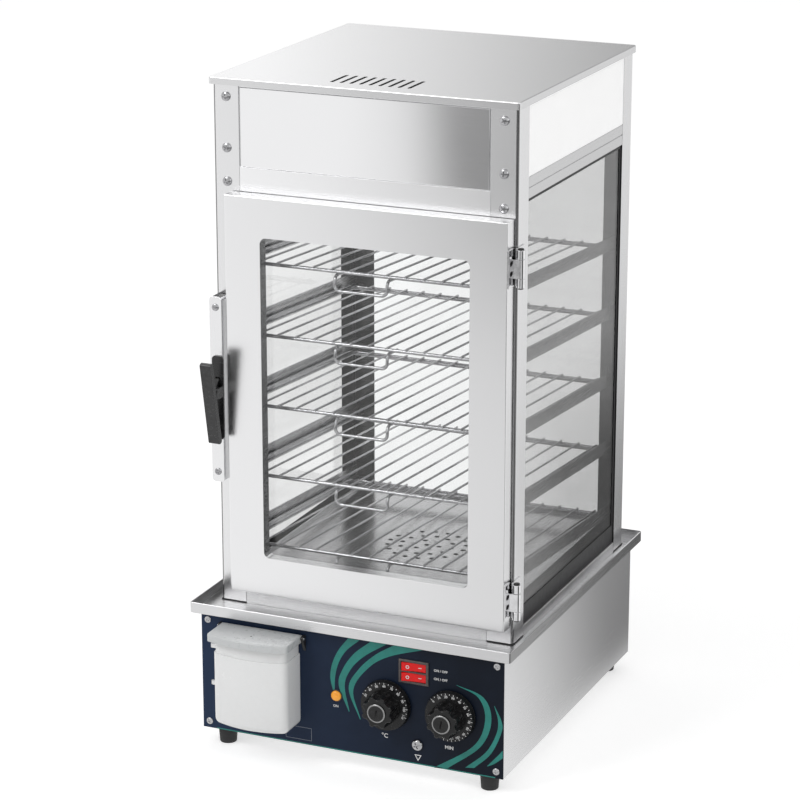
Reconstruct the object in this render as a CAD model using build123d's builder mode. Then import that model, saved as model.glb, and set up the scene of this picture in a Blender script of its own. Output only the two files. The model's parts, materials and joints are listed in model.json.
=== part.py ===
from build123d import *
import os
from math import cos, radians, sin

os.makedirs("parts", exist_ok=True)

# Bun steamer display cabinet, millimetres.
# X points right, Y points back, Z points up.
# The origin lies on the floor under the middle of the base.

# Sheet thicknesses
SHEET = 1.2
FRAME_SHEET = 1.5
# Pieces welded to each other stand this far apart
WELD_GAP = 0.1

# How far a cutting tool runs past the wall that it cuts
CUT_PAST = 5.0

# Cross recess of a pan head, as shares of the head
RECESS_LENGTH = 1.1
RECESS_WIDTH = 0.28
RECESS_DEPTH = 0.9

# Base housing
BASE_WIDTH = 360.0
BASE_DEPTH = 400.0
BASE_HEIGHT = 137.5
BASE_FLANGE = 15.0
FOOT_HEIGHT = 20.0
FOOT_RADIUS = 11.0
FOOT_INSET_X = 22.0
FOOT_INSET_Y = 16.0
FOOT_SCREW_RADIUS = 2.5
FOOT_SCREW_HEAD = 4.75
FOOT_SOLE = 5.0
FOOT_TAPER = 1.5
PANEL_SCREW_RADIUS = 2.0
PANEL_SCREW_HEAD = 4.0
PANEL_SCREW_LENGTH = 8.0
BASE_SCREW_HEAD_THICKNESS = 1.8
PANEL_SCREW_INSET = 8.0
PANEL_TOP_GAP = 0.5
SCREW_CLEARANCE = 0.1
BOTTOM_CLEARANCE = 0.5
BOTTOM_LIP = 10.0
VENT_LENGTH = 60.0
VENT_WIDTH = 5.0
VENT_COLUMN_PITCH = 84.0
VENT_ROW_PITCH = 15.0
VENT_ROWS = 6

# Drip tray on top of the base
TRAY_OVERHANG = 10.0
TRAY_SHEET = 1.5
TRAY_LIP = 11.0
TRAY_BEND = 3.0
TRAY_EDGE_ROUND = 1.2

# Glass cabinet above the tray
CABINET_WIDTH = 348.0
CABINET_DEPTH = 348.0
CABINET_SHIFT = 12.0
TOTAL_HEIGHT = 750.0
POST_LEG = 30.0
POST_BEND = 3.0
POST_LIFT = 1.5
RAIL_END_GAP = 0.3
RAIL_LAP = 26.0
BOTTOM_RAIL_HEIGHT = 37.0
SIDE_RAIL_HEIGHT = 12.0
REAR_RAIL_HEIGHT = 31.0
CEILING_HEIGHT = 496.3
TOP_RAIL_HEIGHT = 23.0
TOP_RAIL_SEAM = 0.8
TOP_RAIL_DROP = 1.3
LEDGE_DEPTH = 12.0
CEILING_THICKNESS = 3.0
LID_SHEET = 1.5
LID_SKIRT = 8.0
LID_SIDE_OVERHANG = 3.0
LID_FRONT_OVERHANG = 5.0
LID_REAR_OVERHANG = 2.0
LID_SLOT_COUNT = 9
LID_SLOT_PITCH = 11.0
LID_SLOT_LENGTH = 42.0
LID_SLOT_WIDTH = 4.0
LID_SLOT_FRONT_GAP = 22.5
REAR_SLOT_COUNT = 8

# Glazing
GLASS = 3.0
GASKET = 0.8
GASKET_EDGE = 2.5
GASKET_SIGHT = 2.0
GASKET_SILL = 20.0
GASKET_BELOW = 0.3

# Header above the door
HEADER_HEIGHT = 148.5
HEADER_STRIP_HEIGHT = 54.0
SIGN_WIDTH = 285.0
SIGN_HEIGHT = 85.7
SIGN_GAP = 0.3
SIGN_EDGE_ROUND = 0.9
HEADER_SCREW_INSET = 15.5
HEADER_SCREW_LEVELS = (478.3, 514.7, 570.0)
HEADER_SCREW_RADIUS = 2.5
HEADER_SCREW_HEAD = 5.3
HEADER_HEAD_THICKNESS = 3.0
HEADER_SCREW_LENGTH = 8.0

# Door
DOOR_DEPTH = 20.0
DOOR_RIGHT_INSET = 3.0
DOOR_LEFT_INSET = 21.0
DOOR_RISE = 21.0
DOOR_HEIGHT = 447.5
DOOR_SHEET = 1.2
DOOR_LINER_SHEET = 1.0
DOOR_SIDE_MARGIN = 41.6
DOOR_TOP_MARGIN = 43.5
DOOR_CORNER = 7.0
DOOR_GLASS_LAP = 8.0
DOOR_LINER_INSET = 3.0
DOOR_GASKET = 1.7
DOOR_GASKET_WIDTH = 7.0
DOOR_GASKET_GAP = 0.3
DOOR_GASKET_LEFT = 2.0
DOOR_GASKET_RIGHT = 18.0
DOOR_GASKET_END = 6.0
DOOR_GASKET_CORNER = 10.5

# Door hinges
HINGE_OUT = 7.0
HINGE_FORWARD = 8.0
HINGE_LENGTH = 40.0
HINGE_LEVELS = (53.5, 419.0)
HINGE_LEAF = 1.5
HINGE_LEAF_HEAD = 0.9
HINGE_LEAF_SCREW_LENGTH = 5.0
HINGE_BARREL = 4.5
HINGE_PIN = 2.0
HINGE_RUNNING_FIT = 0.05
HINGE_MID_LENGTH = 20.0
HINGE_KNUCKLE_GAP = 0.4
HINGE_DOOR_LEAF_DEPTH = 14.0
HINGE_POST_LEAF_DEPTH = 22.0
HINGE_CAP_RADIUS = 3.2
HINGE_CAP_HEIGHT = 1.5
HINGE_SCREW = 1.8
HINGE_SCREW_HEAD = 2.6
HINGE_SCREW_PITCH = 11.0
HINGE_SCREW_DROP = 9.0
HINGE_SCREW_FORWARD = 6.0
HINGE_HEAD_THICKNESS = 1.2
HINGE_HEAD_GAP = 0.2

# Door latch
LATCH_WIDTH = 14.5
LATCH_GAP = 1.0
LATCH_PROUD = 5.5
LATCH_LENGTH = 208.6
LATCH_LEVEL = 252.0
LATCH_CORNER = 4.0
LATCH_WALL = 1.5
LATCH_BACK_GAP = 0.5
LATCH_BLOCK = 18.0
LATCH_SCREW_PITCH = 185.3
LATCH_SCREW_HEAD = 4.0
LATCH_SCREW_RADIUS = 2.0
LATCH_SCREW_HEAD_THICKNESS = 1.8
LATCH_SCREW_LENGTH = 10.0
LATCH_SCREW_HOLE = 12.0
LATCH_PLATE_LENGTH = 94.0
LATCH_PLATE_WIDTH = 13.4
LATCH_PLATE_DROP = 8.0
LATCH_LEVER_SHIFT = 2.3
LATCH_PLATE = 2.0
LATCH_PIVOT_OUT = 9.0
LATCH_EAR = 2.8
LATCH_EAR_RADIUS = 6.0
LATCH_EAR_GAP = 0.4
LATCH_PIN = 2.0
LATCH_LEVER_UP = 40.0
LATCH_LEVER_DOWN = 56.0
LATCH_LEVER_WIDTH = 13.0
LATCH_LEVER_THICKNESS = 7.0
LATCH_LEVER_TILT = 11.0
LATCH_HUB = 7.5
LATCH_GRIP_ROUND = 2.4
LATCH_HOOK_ROOT = 5.0
LATCH_HOOK_WIDTH = 4.0
LATCH_HOOK_REACH = 31.0
LATCH_HOOK_FINGER = 3.5
LATCH_HOOK_RISE = 14.0
LATCH_HOOK_TIP = 4.0
LATCH_SLOT_GAP = 1.5
STRIKE_WIDTH = 9.1
STRIKE_DROP = 13.0
STRIKE_LIP = 9.5
STRIKE_REACH = 12.2
STRIKE_PLATE = 16.0
STRIKE_RIVET = 2.6
STRIKE_RIVET_HEAD = 1.2

# Shelves and their rails
SHELF_COUNT = 5
SHELF_PITCH = 80.0
SHELF_RISE = 67.5
SHELF_TILT = 4.0
SHELF_FRONT_GAP = 17.0
SHELF_DEPTH = 295.0
SHELF_HALF_WIDTH = 158.5
SHELF_WIRE = 1.25
SHELF_WIRE_RISE = 0.5
SHELF_ROD = 2.0
SHELF_WIRE_COUNT = 15
SHELF_WIRE_PITCH = 21.4
SHELF_WIRE_NUB = 1.2
SHELF_REAR_ROD = 1.6
SHELF_CORNER = 8.0
SHELF_HANDLE_LEFT = -38.0
SHELF_HANDLE_RIGHT = 23.0
SHELF_HANDLE_DROP = 20.0
SHELF_HANDLE_WIRE = 1.75
SHELF_HANDLE_BEND = 6.0
SHELF_HANDLE_OUT = 3.0
SHELF_REAR_ROD_PITCH = 9.0
SHELF_REST_GAP = 0.3
RAIL_LEG = 14.0
RAIL_LEDGE = 12.0
RAIL_SIDE_GAP = 4.0
RAIL_TAB = 12.0

# Steam plate over the pan
PLATE_SIDE_GAP = 17.0
PLATE_FRONT_GAP = 9.0
PLATE_REAR_GAP = 12.0
PLATE_RIM = 4.0
PLATE_LEVEL = 32.0
PLATE_CORNER = 6.0
PLATE_HOLE_RADIUS = 3.0
PLATE_HOLE_PITCH = 15.0
PLATE_HOLE_RINGS = 3
PLATE_HOLES_IN_FIRST_RING = 6

# Water pan, element and plumbing inside the base
PAN_HALF_WIDTH = 150.0
PAN_FRONT = -125.0
PAN_BACK = 170.0
PAN_DEPTH = 84.0
PAN_FLANGE = 8.0
PAN_CORNER = 20.0
PAN_HOLE_GAP = 1.0
ELEMENT_RADIUS = 4.0
ELEMENT_LEVEL = 22.0
ELEMENT_HALF_WIDTH = 90.0
ELEMENT_PITCH = 60.0
ELEMENT_REACH = 215.0
ELEMENT_STUB = 24.0
ELEMENT_NUT = 8.0
ELEMENT_NUT_LENGTH = 6.0
HEX_SIDES = 6
BULB_RADIUS = 3.5
BULB_LENGTH = 80.0
BULB_LEVEL = 36.0
BULB_STANDOFF = 12.0
CAPILLARY_RADIUS = 1.0
CAPILLARY_NUT = 5.0
CAPILLARY_NUT_LENGTH = 6.0
CAPILLARY_RUN = 16.0
CAPILLARY_BEND = 6.0
PIPE_RADIUS = 6.0
PIPE_WALL = 1.5
FEED_LEVEL = 88.0
DRAIN_X = 0.0
DRAIN_LEVEL = 52.0
DRAIN_BEND = 14.0
DRAIN_OUTLET_BACK = 120.0
VALVE_RADIUS = 10.0
VALVE_LENGTH = 26.0
VALVE_SPOUT_RADIUS = 6.5
VALVE_SPOUT_LENGTH = 24.2
VALVE_SPOUT_BORE = 4.5
VALVE_STEM = 3.0
VALVE_STEM_HEIGHT = 6.0
VALVE_HANDLE_GAP = 0.5
VALVE_HANDLE_LENGTH = 34.0
VALVE_HANDLE_WIDTH = 10.0
VALVE_HANDLE_THICKNESS = 3.0

# Water box on the front panel
BOX_LEFT = -149.0
BOX_RIGHT = -60.0
BOX_DEPTH = 35.0
BOX_BOW = 8.0
BOX_BOTTOM = 42.0
BOX_SHOULDER = 127.0
BOX_TOP = 141.0
BOX_WALL = 2.0
BOX_NECK_INSET = 1.5
BOX_CORNER = 9.0
BOX_BOTTOM_CORNER = 8.0
BOX_EAR = 3.0
BOX_LID_TOP = 150.0
BOX_LID_OVERHANG = 4.0
BOX_LID_FRONT = 6.0
BOX_LID_WALL = 2.0
BOX_LID_GAP = 0.5
BOX_LID_PIN = 1.5
BOX_LID_PIN_LENGTH = 5.0
BOX_LID_AXIS_OUT = 5.0
BOX_LID_AXIS_DOWN = 3.5
BOX_LID_LUG = 3.0
BOX_LID_REAR_ROUND = 2.4
BOX_LID_VENT = 1.2
BOX_CLIP_LEVELS = (76.0, 120.0)
BOX_CLIP_REACH = 19.0
BOX_CLIP_HEIGHT = 5.0

# Controls on the front panel
KNOB_LEVEL = 84.6
THERMOSTAT_X = 44.0
TIMER_X = 119.6
KNOB_SKIRT_RADIUS = 29.0
KNOB_SKIRT_BACK = 2.0
KNOB_SKIRT_FRONT = 8.0
KNOB_SKIRT_BEVEL = 1.5
KNOB_GRIP_RADIUS = 19.5
KNOB_GRIP_FRONT = 28.0
KNOB_LOBES = 8
KNOB_SCALLOP = 5.0
KNOB_SCALLOP_OUT = 1.75
KNOB_FRONT_ROUND = 1.5
KNOB_DRAFT = 4
KNOB_CAP_RADIUS = 9.0
KNOB_CAP_FRONT = 29.8
SHAFT_RADIUS = 3.0
SHAFT_RUNNING_FIT = 0.05
SHAFT_BUSH_RADIUS = 5.0
SHAFT_BUSH_FRONT = 1.5
THERMOSTAT_SIZE = 36.0
THERMOSTAT_DEPTH = 30.0
CONTROL_CORNER = 3.0
BLADE_LENGTH = 8.0
BLADE_WIDTH = 6.0
BLADE_THICKNESS = 1.0
TIMER_SIZE = 46.0
TIMER_DEPTH = 36.0
CONTROL_HOLE_GAP = 0.3
SWITCH_X = 75.75
SWITCH_Z = 127.0
SWITCH_WIDTH = 34.7
SWITCH_HEIGHT = 27.0
SWITCH_BEZEL = 2.0
SWITCH_BODY_GAP = 2.0
SWITCH_BODY_DEPTH = 24.0
SWITCH_WALL = 3.2
SWITCH_DIVIDER = 1.6
SWITCH_WELL_GROWTH = 1.4
SWITCH_EDGE_ROUND = 0.8
SWITCH_BLADE_WIDTH = 4.8
SWITCH_BLADE_THICKNESS = 0.8
ROCKER_LENGTH = 27.6
ROCKER_FRONT = 3.6
ROCKER_DISH = 1.2
ROCKER_BACK = 5.0
ROCKER_TILT = 7.0
ROCKER_SIDE_GAP = 0.4
ROCKER_END_GAP = 1.0
ROCKER_WELL = 12.0
ROCKER_PIVOT_BACK = 2.5
ROCKER_PIN = 1.5
LAMP_X = -16.0
LAMP_LENS_RADIUS = 6.0
LAMP_LENS_FRONT = 4.0
LAMP_LENS_ROUND = 3.2
LAMP_NUT_MARGIN = 1.5
LAMP_NUT_LENGTH = 3.0
LAMP_BODY_RADIUS = 5.0
LAMP_BODY_DEPTH = 26.0
EARTH_X = 80.4
EARTH_LEVEL = 43.2
EARTH_HEAD = 6.5
EARTH_RADIUS = 2.5
EARTH_HEAD_THICKNESS = 4.5
EARTH_LENGTH = 16.0
EARTH_NUT_LENGTH = 4.0

# Light over the chamber
TUBE_RADIUS = 8.0
TUBE_HALF_LENGTH = 120.0
TUBE_DROP = 24.0
HOLDER_WIDTH = 12.0
HOLDER_SIZE = 20.0

# Mains entry
GLAND_X = -120.0
GLAND_LEVEL = 60.0
GLAND_RADIUS = 9.0
GLAND_BORE = 4.2
GLAND_OUT = 18.0
GLAND_IN = 10.0
GLAND_WALL = 1.5
GLAND_NECK = 2.0
GLAND_NUT_LENGTH = 6.0
GLAND_BACKNUT_LENGTH = 4.0
GLAND_ROUND = 3.0
BLOCK_LENGTH = 48.0
BLOCK_DEPTH = 22.0
BLOCK_HEIGHT = 16.0
BLOCK_BACK = 70.0
BLOCK_WELL = 3.0
BLOCK_WELL_DEPTH = 5.0
BLOCK_WELL_INSET = 6.0

# Levels and planes worked out from the sizes above
base_top = FOOT_HEIGHT + BASE_HEIGHT
deck = base_top + TRAY_SHEET
base_front = -BASE_DEPTH / 2
base_back = BASE_DEPTH / 2
panel_front = base_front - SHEET
cab_side = CABINET_WIDTH / 2
cab_front = CABINET_SHIFT - CABINET_DEPTH / 2
cab_back = CABINET_SHIFT + CABINET_DEPTH / 2
skin_front = cab_front + FRAME_SHEET
skin_back = cab_back - FRAME_SHEET
skin_side = cab_side - FRAME_SHEET
flange_x = cab_side - POST_LEG - RAIL_END_GAP
flange_front = cab_front + POST_LEG + RAIL_END_GAP
flange_back = cab_back - POST_LEG - RAIL_END_GAP
post_bottom = deck + POST_LIFT
post_top = TOTAL_HEIGHT - LID_SHEET
ledge_level = deck + CEILING_HEIGHT
glass_side = skin_side - GASKET
glass_back = skin_back - GASKET
door_left = -cab_side + DOOR_LEFT_INSET
door_right = cab_side - DOOR_RIGHT_INSET
door_bottom = deck + DOOR_RISE
door_top = door_bottom + DOOR_HEIGHT
door_front = cab_front - DOOR_DEPTH
door_back = cab_front - DOOR_GASKET_GAP - DOOR_GASKET
header_bottom = post_top - HEADER_HEIGHT
hinge_x = cab_side + HINGE_OUT
hinge_y = cab_front - HINGE_FORWARD
latch_left = door_left - LATCH_GAP - LATCH_WALL - LATCH_WIDTH
latch_mid = latch_left + LATCH_WIDTH / 2
latch_front = door_front - LATCH_PROUD
latch_z = deck + LATCH_LEVEL
pivot_y = latch_front - LATCH_PLATE - LATCH_PIVOT_OUT
pivot_z = latch_z
lever_x = latch_mid + LATCH_LEVER_SHIFT
shelf_front = cab_front + SHELF_FRONT_GAP
rail_x = glass_side - GLASS - RAIL_SIDE_GAP
pan_bottom = deck - PAN_DEPTH
box_mid = (BOX_LEFT + BOX_RIGHT) / 2


def block(x, y, z, mode=Mode.ADD):
    """A box between the low and high value on each axis."""
    middle = ((x[0] + x[1]) / 2, (y[0] + y[1]) / 2, (z[0] + z[1]) / 2)
    with Locations(middle):
        Box(x[1] - x[0], y[1] - y[0], z[1] - z[0], mode=mode)


def rod(start, end, radius, mode=Mode.ADD):
    """A round bar from one point to another."""
    run = Vector(*end) - Vector(*start)
    with Locations(Plane(origin=start, z_dir=run)):
        Cylinder(radius, run.length, align=(Align.CENTER, Align.CENTER, Align.MIN), mode=mode)


def both_sides(x):
    """The same span of X on the left and on the right."""
    return (x, (-x[1], -x[0]))


def pan_head(seat, out, head, shank, thickness, length):
    """A cross-recessed pan-head screw seated at a point, its head towards out."""
    seat = Vector(*seat)
    out = Vector(*out)
    rod(tuple(seat), tuple(seat + out * thickness), head)
    rod(tuple(seat), tuple(seat - out * length), shank)
    side = out.cross(Vector(0, 0, 1)) if abs(out.Z) < 0.5 else Vector(1, 0, 0)
    recess_plane = Plane(origin=seat + out * thickness, x_dir=side, z_dir=out)
    with Locations(recess_plane):
        Box(head * RECESS_LENGTH, head * RECESS_WIDTH, thickness * RECESS_DEPTH, mode=Mode.SUBTRACT)
        Box(head * RECESS_WIDTH, head * RECESS_LENGTH, thickness * RECESS_DEPTH, mode=Mode.SUBTRACT)


def save(piece, name):
    """Label a finished piece and write it under its name."""
    piece.part.label = name
    export_step(piece.part, f"parts/{name}.step")


# Base housing

def foot_places():
    x = BASE_WIDTH / 2 - FOOT_INSET_X
    y = BASE_DEPTH / 2 - FOOT_INSET_Y
    return [(-x, -y), (x, -y), (-x, y), (x, y)]


def panel_screw_places():
    x = BASE_WIDTH / 2 - PANEL_SCREW_INSET
    low = FOOT_HEIGHT + PANEL_SCREW_INSET
    high = base_top - PANEL_SCREW_INSET - PANEL_TOP_GAP
    return [(-x, low), (x, low), (-x, high), (x, high)]


def make_base_shell():
    """Two folded side panels and the rear panel welded between them."""
    outer_x = BASE_WIDTH / 2
    inner_x = outer_x - SHEET
    z = (FOOT_HEIGHT, base_top)
    with BuildPart() as base_shell:
        for x in both_sides((inner_x, outer_x)):
            block(x, (base_front, base_back), z)
        block((WELD_GAP - inner_x, inner_x - WELD_GAP), (base_back - SHEET, base_back), z)
        for x in both_sides((outer_x - BASE_FLANGE, outer_x)):
            block(x, (base_front, base_front + SHEET), z)
        for x, level in panel_screw_places():
            rod((x, base_front - 1, level), (x, base_front + SHEET + 1, level),
                PANEL_SCREW_RADIUS + SCREW_CLEARANCE, Mode.SUBTRACT)
        rear_holes = (
            (GLAND_X, GLAND_LEVEL, GLAND_RADIUS - GLAND_NECK),
            (DRAIN_X, DRAIN_LEVEL, PIPE_RADIUS + CONTROL_HOLE_GAP),
        )
        for x, level, radius in rear_holes:
            rod((x, base_back - CUT_PAST, level), (x, base_back + CUT_PAST, level), radius, Mode.SUBTRACT)
    save(base_shell, "base_shell")


def make_base_bottom():
    x = BASE_WIDTH / 2 - SHEET - BOTTOM_CLEARANCE
    front = base_front + SHEET + BOTTOM_CLEARANCE
    back = base_back - SHEET - BOTTOM_CLEARANCE
    with BuildPart() as base_bottom:
        block((-x, x), (front, back), (FOOT_HEIGHT, FOOT_HEIGHT + SHEET))
        for side in both_sides((x - SHEET, x)):
            block(side, (front + BASE_FLANGE, back), (FOOT_HEIGHT, FOOT_HEIGHT + BOTTOM_LIP))
        for foot_x, foot_y in foot_places():
            rod((foot_x, foot_y, FOOT_HEIGHT - 1), (foot_x, foot_y, FOOT_HEIGHT + SHEET + 1),
                FOOT_SCREW_RADIUS + SCREW_CLEARANCE, Mode.SUBTRACT)
        with BuildSketch(Plane.XY.offset(FOOT_HEIGHT)):
            with GridLocations(VENT_COLUMN_PITCH, VENT_ROW_PITCH, 3, VENT_ROWS):
                SlotOverall(VENT_LENGTH, VENT_WIDTH)
        extrude(amount=SHEET, mode=Mode.SUBTRACT)
    save(base_bottom, "base_bottom")


def make_feet():
    with BuildPart() as feet:
        for x, y in foot_places():
            foot_plane = Plane.XY.offset(0)
            with BuildSketch(foot_plane):
                with Locations((x, y)):
                    Circle(FOOT_RADIUS - FOOT_TAPER)
            with BuildSketch(foot_plane.offset(FOOT_HEIGHT)):
                with Locations((x, y)):
                    Circle(FOOT_RADIUS)
            loft()
            rod((x, y, FOOT_SOLE), (x, y, FOOT_HEIGHT + 1), FOOT_SCREW_RADIUS, Mode.SUBTRACT)
    save(feet, "feet")


def make_base_screws():
    with BuildPart() as base_screws:
        for x, level in panel_screw_places():
            pan_head((x, panel_front, level), (0, -1, 0), PANEL_SCREW_HEAD,
                     PANEL_SCREW_RADIUS, BASE_SCREW_HEAD_THICKNESS, PANEL_SCREW_LENGTH)
        for x, y in foot_places():
            pan_head((x, y, FOOT_HEIGHT + SHEET), (0, 0, 1), FOOT_SCREW_HEAD,
                     FOOT_SCREW_RADIUS, BASE_SCREW_HEAD_THICKNESS, SHEET + FOOT_HEIGHT - FOOT_SOLE)
    save(base_screws, "base_screws")


def make_front_panel():
    half = BASE_WIDTH / 2
    with BuildPart() as front_panel:
        block((-half, half), (panel_front, base_front), (FOOT_HEIGHT, base_top - PANEL_TOP_GAP))
        for x, level in panel_screw_places():
            rod((x, panel_front - 1, level), (x, base_front + 1, level),
                PANEL_SCREW_RADIUS + SCREW_CLEARANCE, Mode.SUBTRACT)
        round_holes = (
            (THERMOSTAT_X, KNOB_LEVEL, SHAFT_BUSH_RADIUS + CONTROL_HOLE_GAP),
            (TIMER_X, KNOB_LEVEL, SHAFT_BUSH_RADIUS + CONTROL_HOLE_GAP),
            (LAMP_X, KNOB_LEVEL, LAMP_BODY_RADIUS),
            (EARTH_X, EARTH_LEVEL, EARTH_RADIUS + SCREW_CLEARANCE),
            (box_mid, FEED_LEVEL, PIPE_RADIUS + CONTROL_HOLE_GAP),
        )
        for x, level, radius in round_holes:
            rod((x, panel_front - 1, level), (x, base_front + 1, level), radius, Mode.SUBTRACT)
        body_x = SWITCH_WIDTH / 2 - SWITCH_BODY_GAP
        body_z = SWITCH_HEIGHT / 2 - SWITCH_BODY_GAP
        block((SWITCH_X - body_x, SWITCH_X + body_x), (panel_front - 1, base_front + 1),
              (SWITCH_Z - body_z, SWITCH_Z + body_z), Mode.SUBTRACT)
    save(front_panel, "front_panel")


# Drip tray and what hangs below it

def make_top_tray():
    half_x = BASE_WIDTH / 2 + TRAY_OVERHANG
    half_y = BASE_DEPTH / 2 + TRAY_OVERHANG
    hole_x = PAN_HALF_WIDTH + PAN_HOLE_GAP
    hole_front = PAN_FRONT - PAN_HOLE_GAP
    hole_back = PAN_BACK + PAN_HOLE_GAP
    with BuildPart() as top_tray:
        block((-half_x, half_x), (-half_y, half_y), (base_top, deck + TRAY_LIP))
        fillet(top_tray.edges().filter_by(Axis.Z), TRAY_BEND)
        fillet(top_tray.faces().sort_by(Axis.Z)[0].edges(), TRAY_EDGE_ROUND)
        block((-half_x + TRAY_SHEET, half_x - TRAY_SHEET), (-half_y + TRAY_SHEET, half_y - TRAY_SHEET),
              (deck, deck + TRAY_LIP), Mode.SUBTRACT)
        block((-hole_x, hole_x), (hole_front, hole_back), (base_top, deck), Mode.SUBTRACT)
    save(top_tray, "top_tray")


def make_water_pan():
    flange_x_out = PAN_HALF_WIDTH + PAN_FLANGE
    y_front = PAN_FRONT - PAN_FLANGE
    y_back = PAN_BACK + PAN_FLANGE
    middle_y = (PAN_FRONT + PAN_BACK) / 2
    with BuildPart() as water_pan:
        with BuildSketch(Plane.XY.offset(pan_bottom)):
            with Locations((0, middle_y)):
                RectangleRounded(2 * PAN_HALF_WIDTH, PAN_BACK - PAN_FRONT, PAN_CORNER)
        extrude(amount=deck + SHEET - pan_bottom)
        block((-flange_x_out, flange_x_out), (y_front, y_back), (deck, deck + SHEET))
        with BuildSketch(Plane.XY.offset(pan_bottom + SHEET)):
            with Locations((0, middle_y)):
                RectangleRounded(2 * (PAN_HALF_WIDTH - SHEET), PAN_BACK - PAN_FRONT - 2 * SHEET,
                                 PAN_CORNER - SHEET)
        extrude(amount=PAN_DEPTH + SHEET, mode=Mode.SUBTRACT)
        for x in (-ELEMENT_HALF_WIDTH, ELEMENT_HALF_WIDTH):
            level = pan_bottom + ELEMENT_LEVEL
            rod((x, PAN_FRONT - 1, level), (x, PAN_FRONT + CUT_PAST, level), ELEMENT_RADIUS, Mode.SUBTRACT)
        rod((box_mid, PAN_FRONT - 1, FEED_LEVEL), (box_mid, PAN_FRONT + CUT_PAST, FEED_LEVEL),
            PIPE_RADIUS - PIPE_WALL, Mode.SUBTRACT)
        rod((DRAIN_X, DRAIN_OUTLET_BACK, pan_bottom - 1),
            (DRAIN_X, DRAIN_OUTLET_BACK, pan_bottom + CUT_PAST),
            PIPE_RADIUS - PIPE_WALL, Mode.SUBTRACT)
        bulb_z = pan_bottom + BULB_LEVEL
        rod((THERMOSTAT_X, PAN_FRONT - 1, bulb_z), (THERMOSTAT_X, PAN_FRONT + CUT_PAST, bulb_z),
            CAPILLARY_RADIUS + SCREW_CLEARANCE, Mode.SUBTRACT)
    save(water_pan, "water_pan")


def make_heating_element():
    level = pan_bottom + ELEMENT_LEVEL
    start_y = PAN_FRONT - ELEMENT_STUB
    far = PAN_FRONT + ELEMENT_REACH
    near = PAN_FRONT + ELEMENT_PITCH
    outer = ELEMENT_HALF_WIDTH
    inner = ELEMENT_HALF_WIDTH - ELEMENT_PITCH
    route = [
        (-outer, start_y, level), (-outer, far, level), (-inner, far, level),
        (-inner, near, level), (inner, near, level), (inner, far, level),
        (outer, far, level), (outer, start_y, level),
    ]
    bend = ELEMENT_PITCH / 2 - 2
    with BuildPart() as heating_element:
        with BuildLine() as route_line:
            FilletPolyline(*route, radius=bend)
        with BuildSketch(Plane(origin=route[0], z_dir=(0, 1, 0))):
            Circle(ELEMENT_RADIUS)
        sweep(path=route_line.wires()[0])
        for x in (-outer, outer):
            nut_plane = Plane(origin=(x, PAN_FRONT - ELEMENT_NUT_LENGTH, level), z_dir=(0, 1, 0))
            with BuildSketch(nut_plane):
                RegularPolygon(ELEMENT_NUT, HEX_SIDES)
            extrude(amount=ELEMENT_NUT_LENGTH)
    save(heating_element, "heating_element")


def make_feed_pipe():
    with BuildPart() as feed_pipe:
        rod((box_mid, panel_front, FEED_LEVEL), (box_mid, PAN_FRONT, FEED_LEVEL), PIPE_RADIUS)
        rod((box_mid, panel_front, FEED_LEVEL), (box_mid, PAN_FRONT, FEED_LEVEL),
            PIPE_RADIUS - PIPE_WALL, Mode.SUBTRACT)
    save(feed_pipe, "feed_pipe")


def make_drain_pipe():
    with BuildPart() as drain_pipe:
        with BuildLine() as route_line:
            FilletPolyline((DRAIN_X, DRAIN_OUTLET_BACK, pan_bottom),
                           (DRAIN_X, DRAIN_OUTLET_BACK, DRAIN_LEVEL),
                           (DRAIN_X, base_back, DRAIN_LEVEL), radius=DRAIN_BEND)
        with BuildSketch(Plane(origin=(DRAIN_X, DRAIN_OUTLET_BACK, pan_bottom), z_dir=(0, 0, -1))):
            Circle(PIPE_RADIUS)
            Circle(PIPE_RADIUS - PIPE_WALL, mode=Mode.SUBTRACT)
        sweep(path=route_line.wires()[0])
    save(drain_pipe, "drain_pipe")


def make_drain_valve():
    mid = base_back + VALVE_LENGTH / 2
    spout_end = base_back + VALVE_LENGTH + VALVE_SPOUT_LENGTH
    with BuildPart() as drain_valve:
        with BuildSketch(Plane(origin=(DRAIN_X, base_back, DRAIN_LEVEL), z_dir=(0, 1, 0))):
            RegularPolygon(VALVE_RADIUS, HEX_SIDES)
        extrude(amount=VALVE_LENGTH)
        rod((DRAIN_X, base_back, DRAIN_LEVEL), (DRAIN_X, spout_end, DRAIN_LEVEL), VALVE_SPOUT_RADIUS)
        rod((DRAIN_X, mid, DRAIN_LEVEL),
            (DRAIN_X, mid, DRAIN_LEVEL + VALVE_RADIUS + VALVE_STEM_HEIGHT / 2), VALVE_STEM * 2)
        rod((DRAIN_X, mid, DRAIN_LEVEL),
            (DRAIN_X, mid, DRAIN_LEVEL + VALVE_RADIUS + VALVE_STEM_HEIGHT + VALVE_HANDLE_THICKNESS),
            VALVE_STEM)
        rod((DRAIN_X, mid + VALVE_SPOUT_LENGTH / 2, DRAIN_LEVEL), (DRAIN_X, spout_end, DRAIN_LEVEL),
            VALVE_SPOUT_BORE, Mode.SUBTRACT)
    save(drain_valve, "drain_valve")


def make_drain_valve_handle():
    mid = base_back + VALVE_LENGTH / 2
    low = DRAIN_LEVEL + VALVE_RADIUS + VALVE_STEM_HEIGHT / 2 + VALVE_HANDLE_GAP
    with BuildPart() as drain_valve_handle:
        with BuildSketch(Plane.XY.offset(low)):
            with Locations((DRAIN_X + VALVE_HANDLE_LENGTH / 2 - VALVE_HANDLE_WIDTH / 2, mid)):
                SlotOverall(VALVE_HANDLE_LENGTH, VALVE_HANDLE_WIDTH)
            with Locations((DRAIN_X, mid)):
                Circle(VALVE_STEM + HINGE_RUNNING_FIT, mode=Mode.SUBTRACT)
        extrude(amount=VALVE_HANDLE_THICKNESS)
    save(drain_valve_handle, "drain_valve_handle")


# Water box on the front panel

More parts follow.
